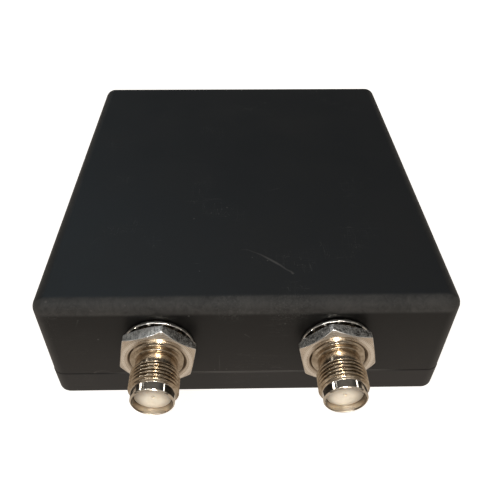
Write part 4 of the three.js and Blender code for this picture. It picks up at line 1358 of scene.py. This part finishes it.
def build_heat_parts():
    ob = node_block("thermal_pad", "heat_pad", PAD, radius=0.7)
    bevel(ob, 0.25, angle=30)
    assign(ob, "thermal_pad")
    low, high = box_mm("heat_spreader")
    ob = node_block("heat_spreader", "heat_plate", HEAT, radius=1.2)
    cut(ob, merge([cylinder(3.35, low[2] - 1, high[2] + 1, x, y, 56)
                   for x, y in POSTS.values()]))
    recoat(ob, 30, HEAT)
    bevel(ob, 0.15)
    assign(ob, "heat_spreader")


keep_cad_parts()
build_board_screws()
for side in ("uplink", "downlink"):
    build_shield_lid(side)
for node in ("uplink_amp_chip", "downlink_amp_chip", "gain_controller_chip",
             "voltage_regulator"):
    build_chip(node)
build_inductor()
for side in ("outside", "inside"):
    build_duplexer(side)
for number in (1, 2):
    build_capacitor(number)
build_power_socket()
build_lamp()
build_heat_parts()


# ------------------------------------------------------------------ floor
def floor_paper():
    """Pale glowing paper; in reflections it is a warmer, darker tone."""
    s = new_shader("floor_paper")
    camera_ray = s.node("LightPath", out="Is Camera Ray")
    tone = s.mix(s.noise(0.02, detail=3, rough=0.5).ramp(), (0.80, 0.795, 0.785),
                 (0.82, 0.815, 0.805))
    glow = s.node("Emission", {"Color": (1.0, 0.97, 0.93),
                               "Strength": camera_ray.ramp(0, 1, out=(0.42, 0.86))})
    paper = s.node("AddShader", {0: s.node("BsdfDiffuse", {"Color": tone}), 1: glow})
    reflected = s.node("Emission", {"Color": (0.60, 0.535, 0.465), "Strength": 1.0})
    s.put(s.output, s.node("MixShader", {0: camera_ray.sibling("Is Glossy Ray"), 1: paper,
                                         2: reflected}))
    return s.owner


FLOOR_HALF, FLOOR_Z = 2600, -0.02
floor = new_mesh("floor", [(x * FLOOR_HALF, y * FLOOR_HALF, FLOOR_Z)
                           for x, y in ((-1, -1), (1, -1), (1, 1), (-1, 1))],
                 [(0, 1, 2, 3)], floor_paper())


# ------------------------------------------------------------------ lights, in metres
AIM = Vector((0.0, -0.055, 0.02))


def receivers(name, prefixes):
    """A collection of the parts that some lights are limited to."""
    collection = bpy.data.collections.new(name)
    for ob in list(SCENE.objects):
        if ob.type == "MESH" and ob.name.startswith(prefixes):
            collection.objects.link(ob)
    return collection


def from_aim(direction, distance):
    return AIM + Vector(direction).normalized() * distance


def area_light(name, location, size, power, colour, only=None):
    data = bpy.data.lights.new(name, "AREA")
    data.shape = "RECTANGLE"
    data.size, data.size_y = size
    data.energy = power
    data.color = colour
    ob = bpy.data.objects.new(name, data)
    ob.location = location
    ob.rotation_euler = (location - AIM).to_track_quat("Z", "Y").to_euler()
    SCENE.collection.objects.link(ob)
    if only:
        ob.light_linking.receiver_collection = only


# some lights are there for the jacks and screws alone, and leave the matt case dark
SHINY = receivers("shiny_parts", ("jack_shell", "panel_nut", "tooth_washer", "jack_insulator",
                                  "jack_contact", "case_screw", "screw_washer"))
# the two veils give the matt case its faint sheen and are not seen in the metal
MATT = receivers("matt_parts", ("housing_shell", "base_tray"))

area_light("key", Vector((0.0093, -0.168, 0.161)), size=(0.036, 0.036), power=0.23,
           colour=(1.0, 0.94, 0.85), only=SHINY)
area_light("strip_left", from_aim((-0.721, 0.588, 0.3665), 1.2), size=(0.10, 0.16), power=0.8,
           colour=(0.96, 0.985, 1.0), only=SHINY)
area_light("strip_right", from_aim((0.735, 0.554, 0.391), 1.2), size=(0.06, 0.10), power=0.14,
           colour=(0.97, 0.99, 1.0), only=SHINY)
area_light("front_soft", from_aim((0.1, -0.75, 0.66), 1.6), size=(0.9, 0.7), power=3.0,
           colour=(1.0, 0.97, 0.93))
area_light("window", from_aim((-0.30, -0.37, 0.88), 0.75), size=(0.3, 0.3), power=0.9,
           colour=(0.86, 0.94, 1.0))
area_light("thread_glow", from_aim((-0.44, -0.47, 0.765), 0.8), size=(0.10, 0.10), power=0.55,
           colour=(0.95, 0.98, 1.0), only=SHINY)
area_light("panel_left", from_aim((-0.56, 0.66, 0.50), 1.3), size=(0.24, 0.24), power=0.50,
           colour=(0.95, 0.98, 1.0), only=SHINY)
area_light("left_veil", from_aim((-0.34, 0.58, 0.74), 1.4), size=(0.35, 0.35), power=1.15,
           colour=(0.66, 0.86, 1.0), only=MATT)
area_light("front_veil", from_aim((0.16, 0.56, 0.81), 1.5), size=(1.1, 0.3), power=1.5,
           colour=(0.90, 0.96, 1.0), only=MATT)


# ------------------------------------------------------------------ world
def build_world():
    """Pale to the camera; to the product, pale in front and dark behind and near the horizon."""
    SCENE.world = bpy.data.worlds.new("studio")
    s = Shader(SCENE.world, "OutputWorld")
    x, y, z = s.xyz(s.node("TexCoord", out="Generated"))
    rear = s.mix(z.fade(0.42, 0.72), (0.062, 0.063, 0.064), (0.160, 0.159, 0.158))
    rear = s.mix(abs(x).fade(0.30, 0.75), rear, (0.058, 0.060, 0.063))
    room = s.mix(y.fade(-0.5, 0.35), (0.52, 0.495, 0.46), rear)
    room = s.mix(z.fade(0.05, 0.34), (0.10, 0.089, 0.078), room)
    lit = s.node("Background", {"Color": room, "Strength": 1.0})
    pale = s.node("Background", {"Color": (1.0, 0.985, 0.965), "Strength": 1.02})
    camera_ray = s.node("LightPath", out="Is Camera Ray")
    s.put(s.output, s.node("MixShader", {0: camera_ray, 1: lit, 2: pale}))


# ------------------------------------------------------------------ camera
AZIMUTH, ELEVATION, ROLL = (math.radians(angle) for angle in (-1.24, 43.716, 0.317))
DISTANCE = 170.34
TARGET = Vector((-0.39, FRONT + 41.11, 0.0))


def build_camera():
    data = bpy.data.cameras.new("camera")
    camera = bpy.data.objects.new("camera", data)
    SCENE.collection.objects.link(camera)
    SCENE.camera = camera
    back = Vector((math.sin(AZIMUTH) * math.cos(ELEVATION),
                   -math.cos(AZIMUTH) * math.cos(ELEVATION), math.sin(ELEVATION)))
    right = (-back).cross(Vector((0, 0, 1))).normalized()
    up = right.cross(-back)
    rolled_right = right * math.cos(ROLL) + up * math.sin(ROLL)
    rolled_up = -right * math.sin(ROLL) + up * math.cos(ROLL)
    matrix = Matrix((rolled_right, rolled_up, back)).transposed().to_4x4()
    matrix.translation = (TARGET + back * DISTANCE) * MM
    camera.matrix_world = matrix
    data.sensor_width = 36.0
    data.sensor_fit = "HORIZONTAL"
    data.lens = 39.23496
    data.shift_x, data.shift_y = 0.01532, 0.05868
    data.clip_start, data.clip_end = 0.005, 20.0


build_world()
build_camera()
SCENE.view_settings.view_transform = "Standard"
SCENE.view_settings.look = "None"
SCENE.view_settings.exposure = 0.0
SCENE.view_settings.gamma = 1.0
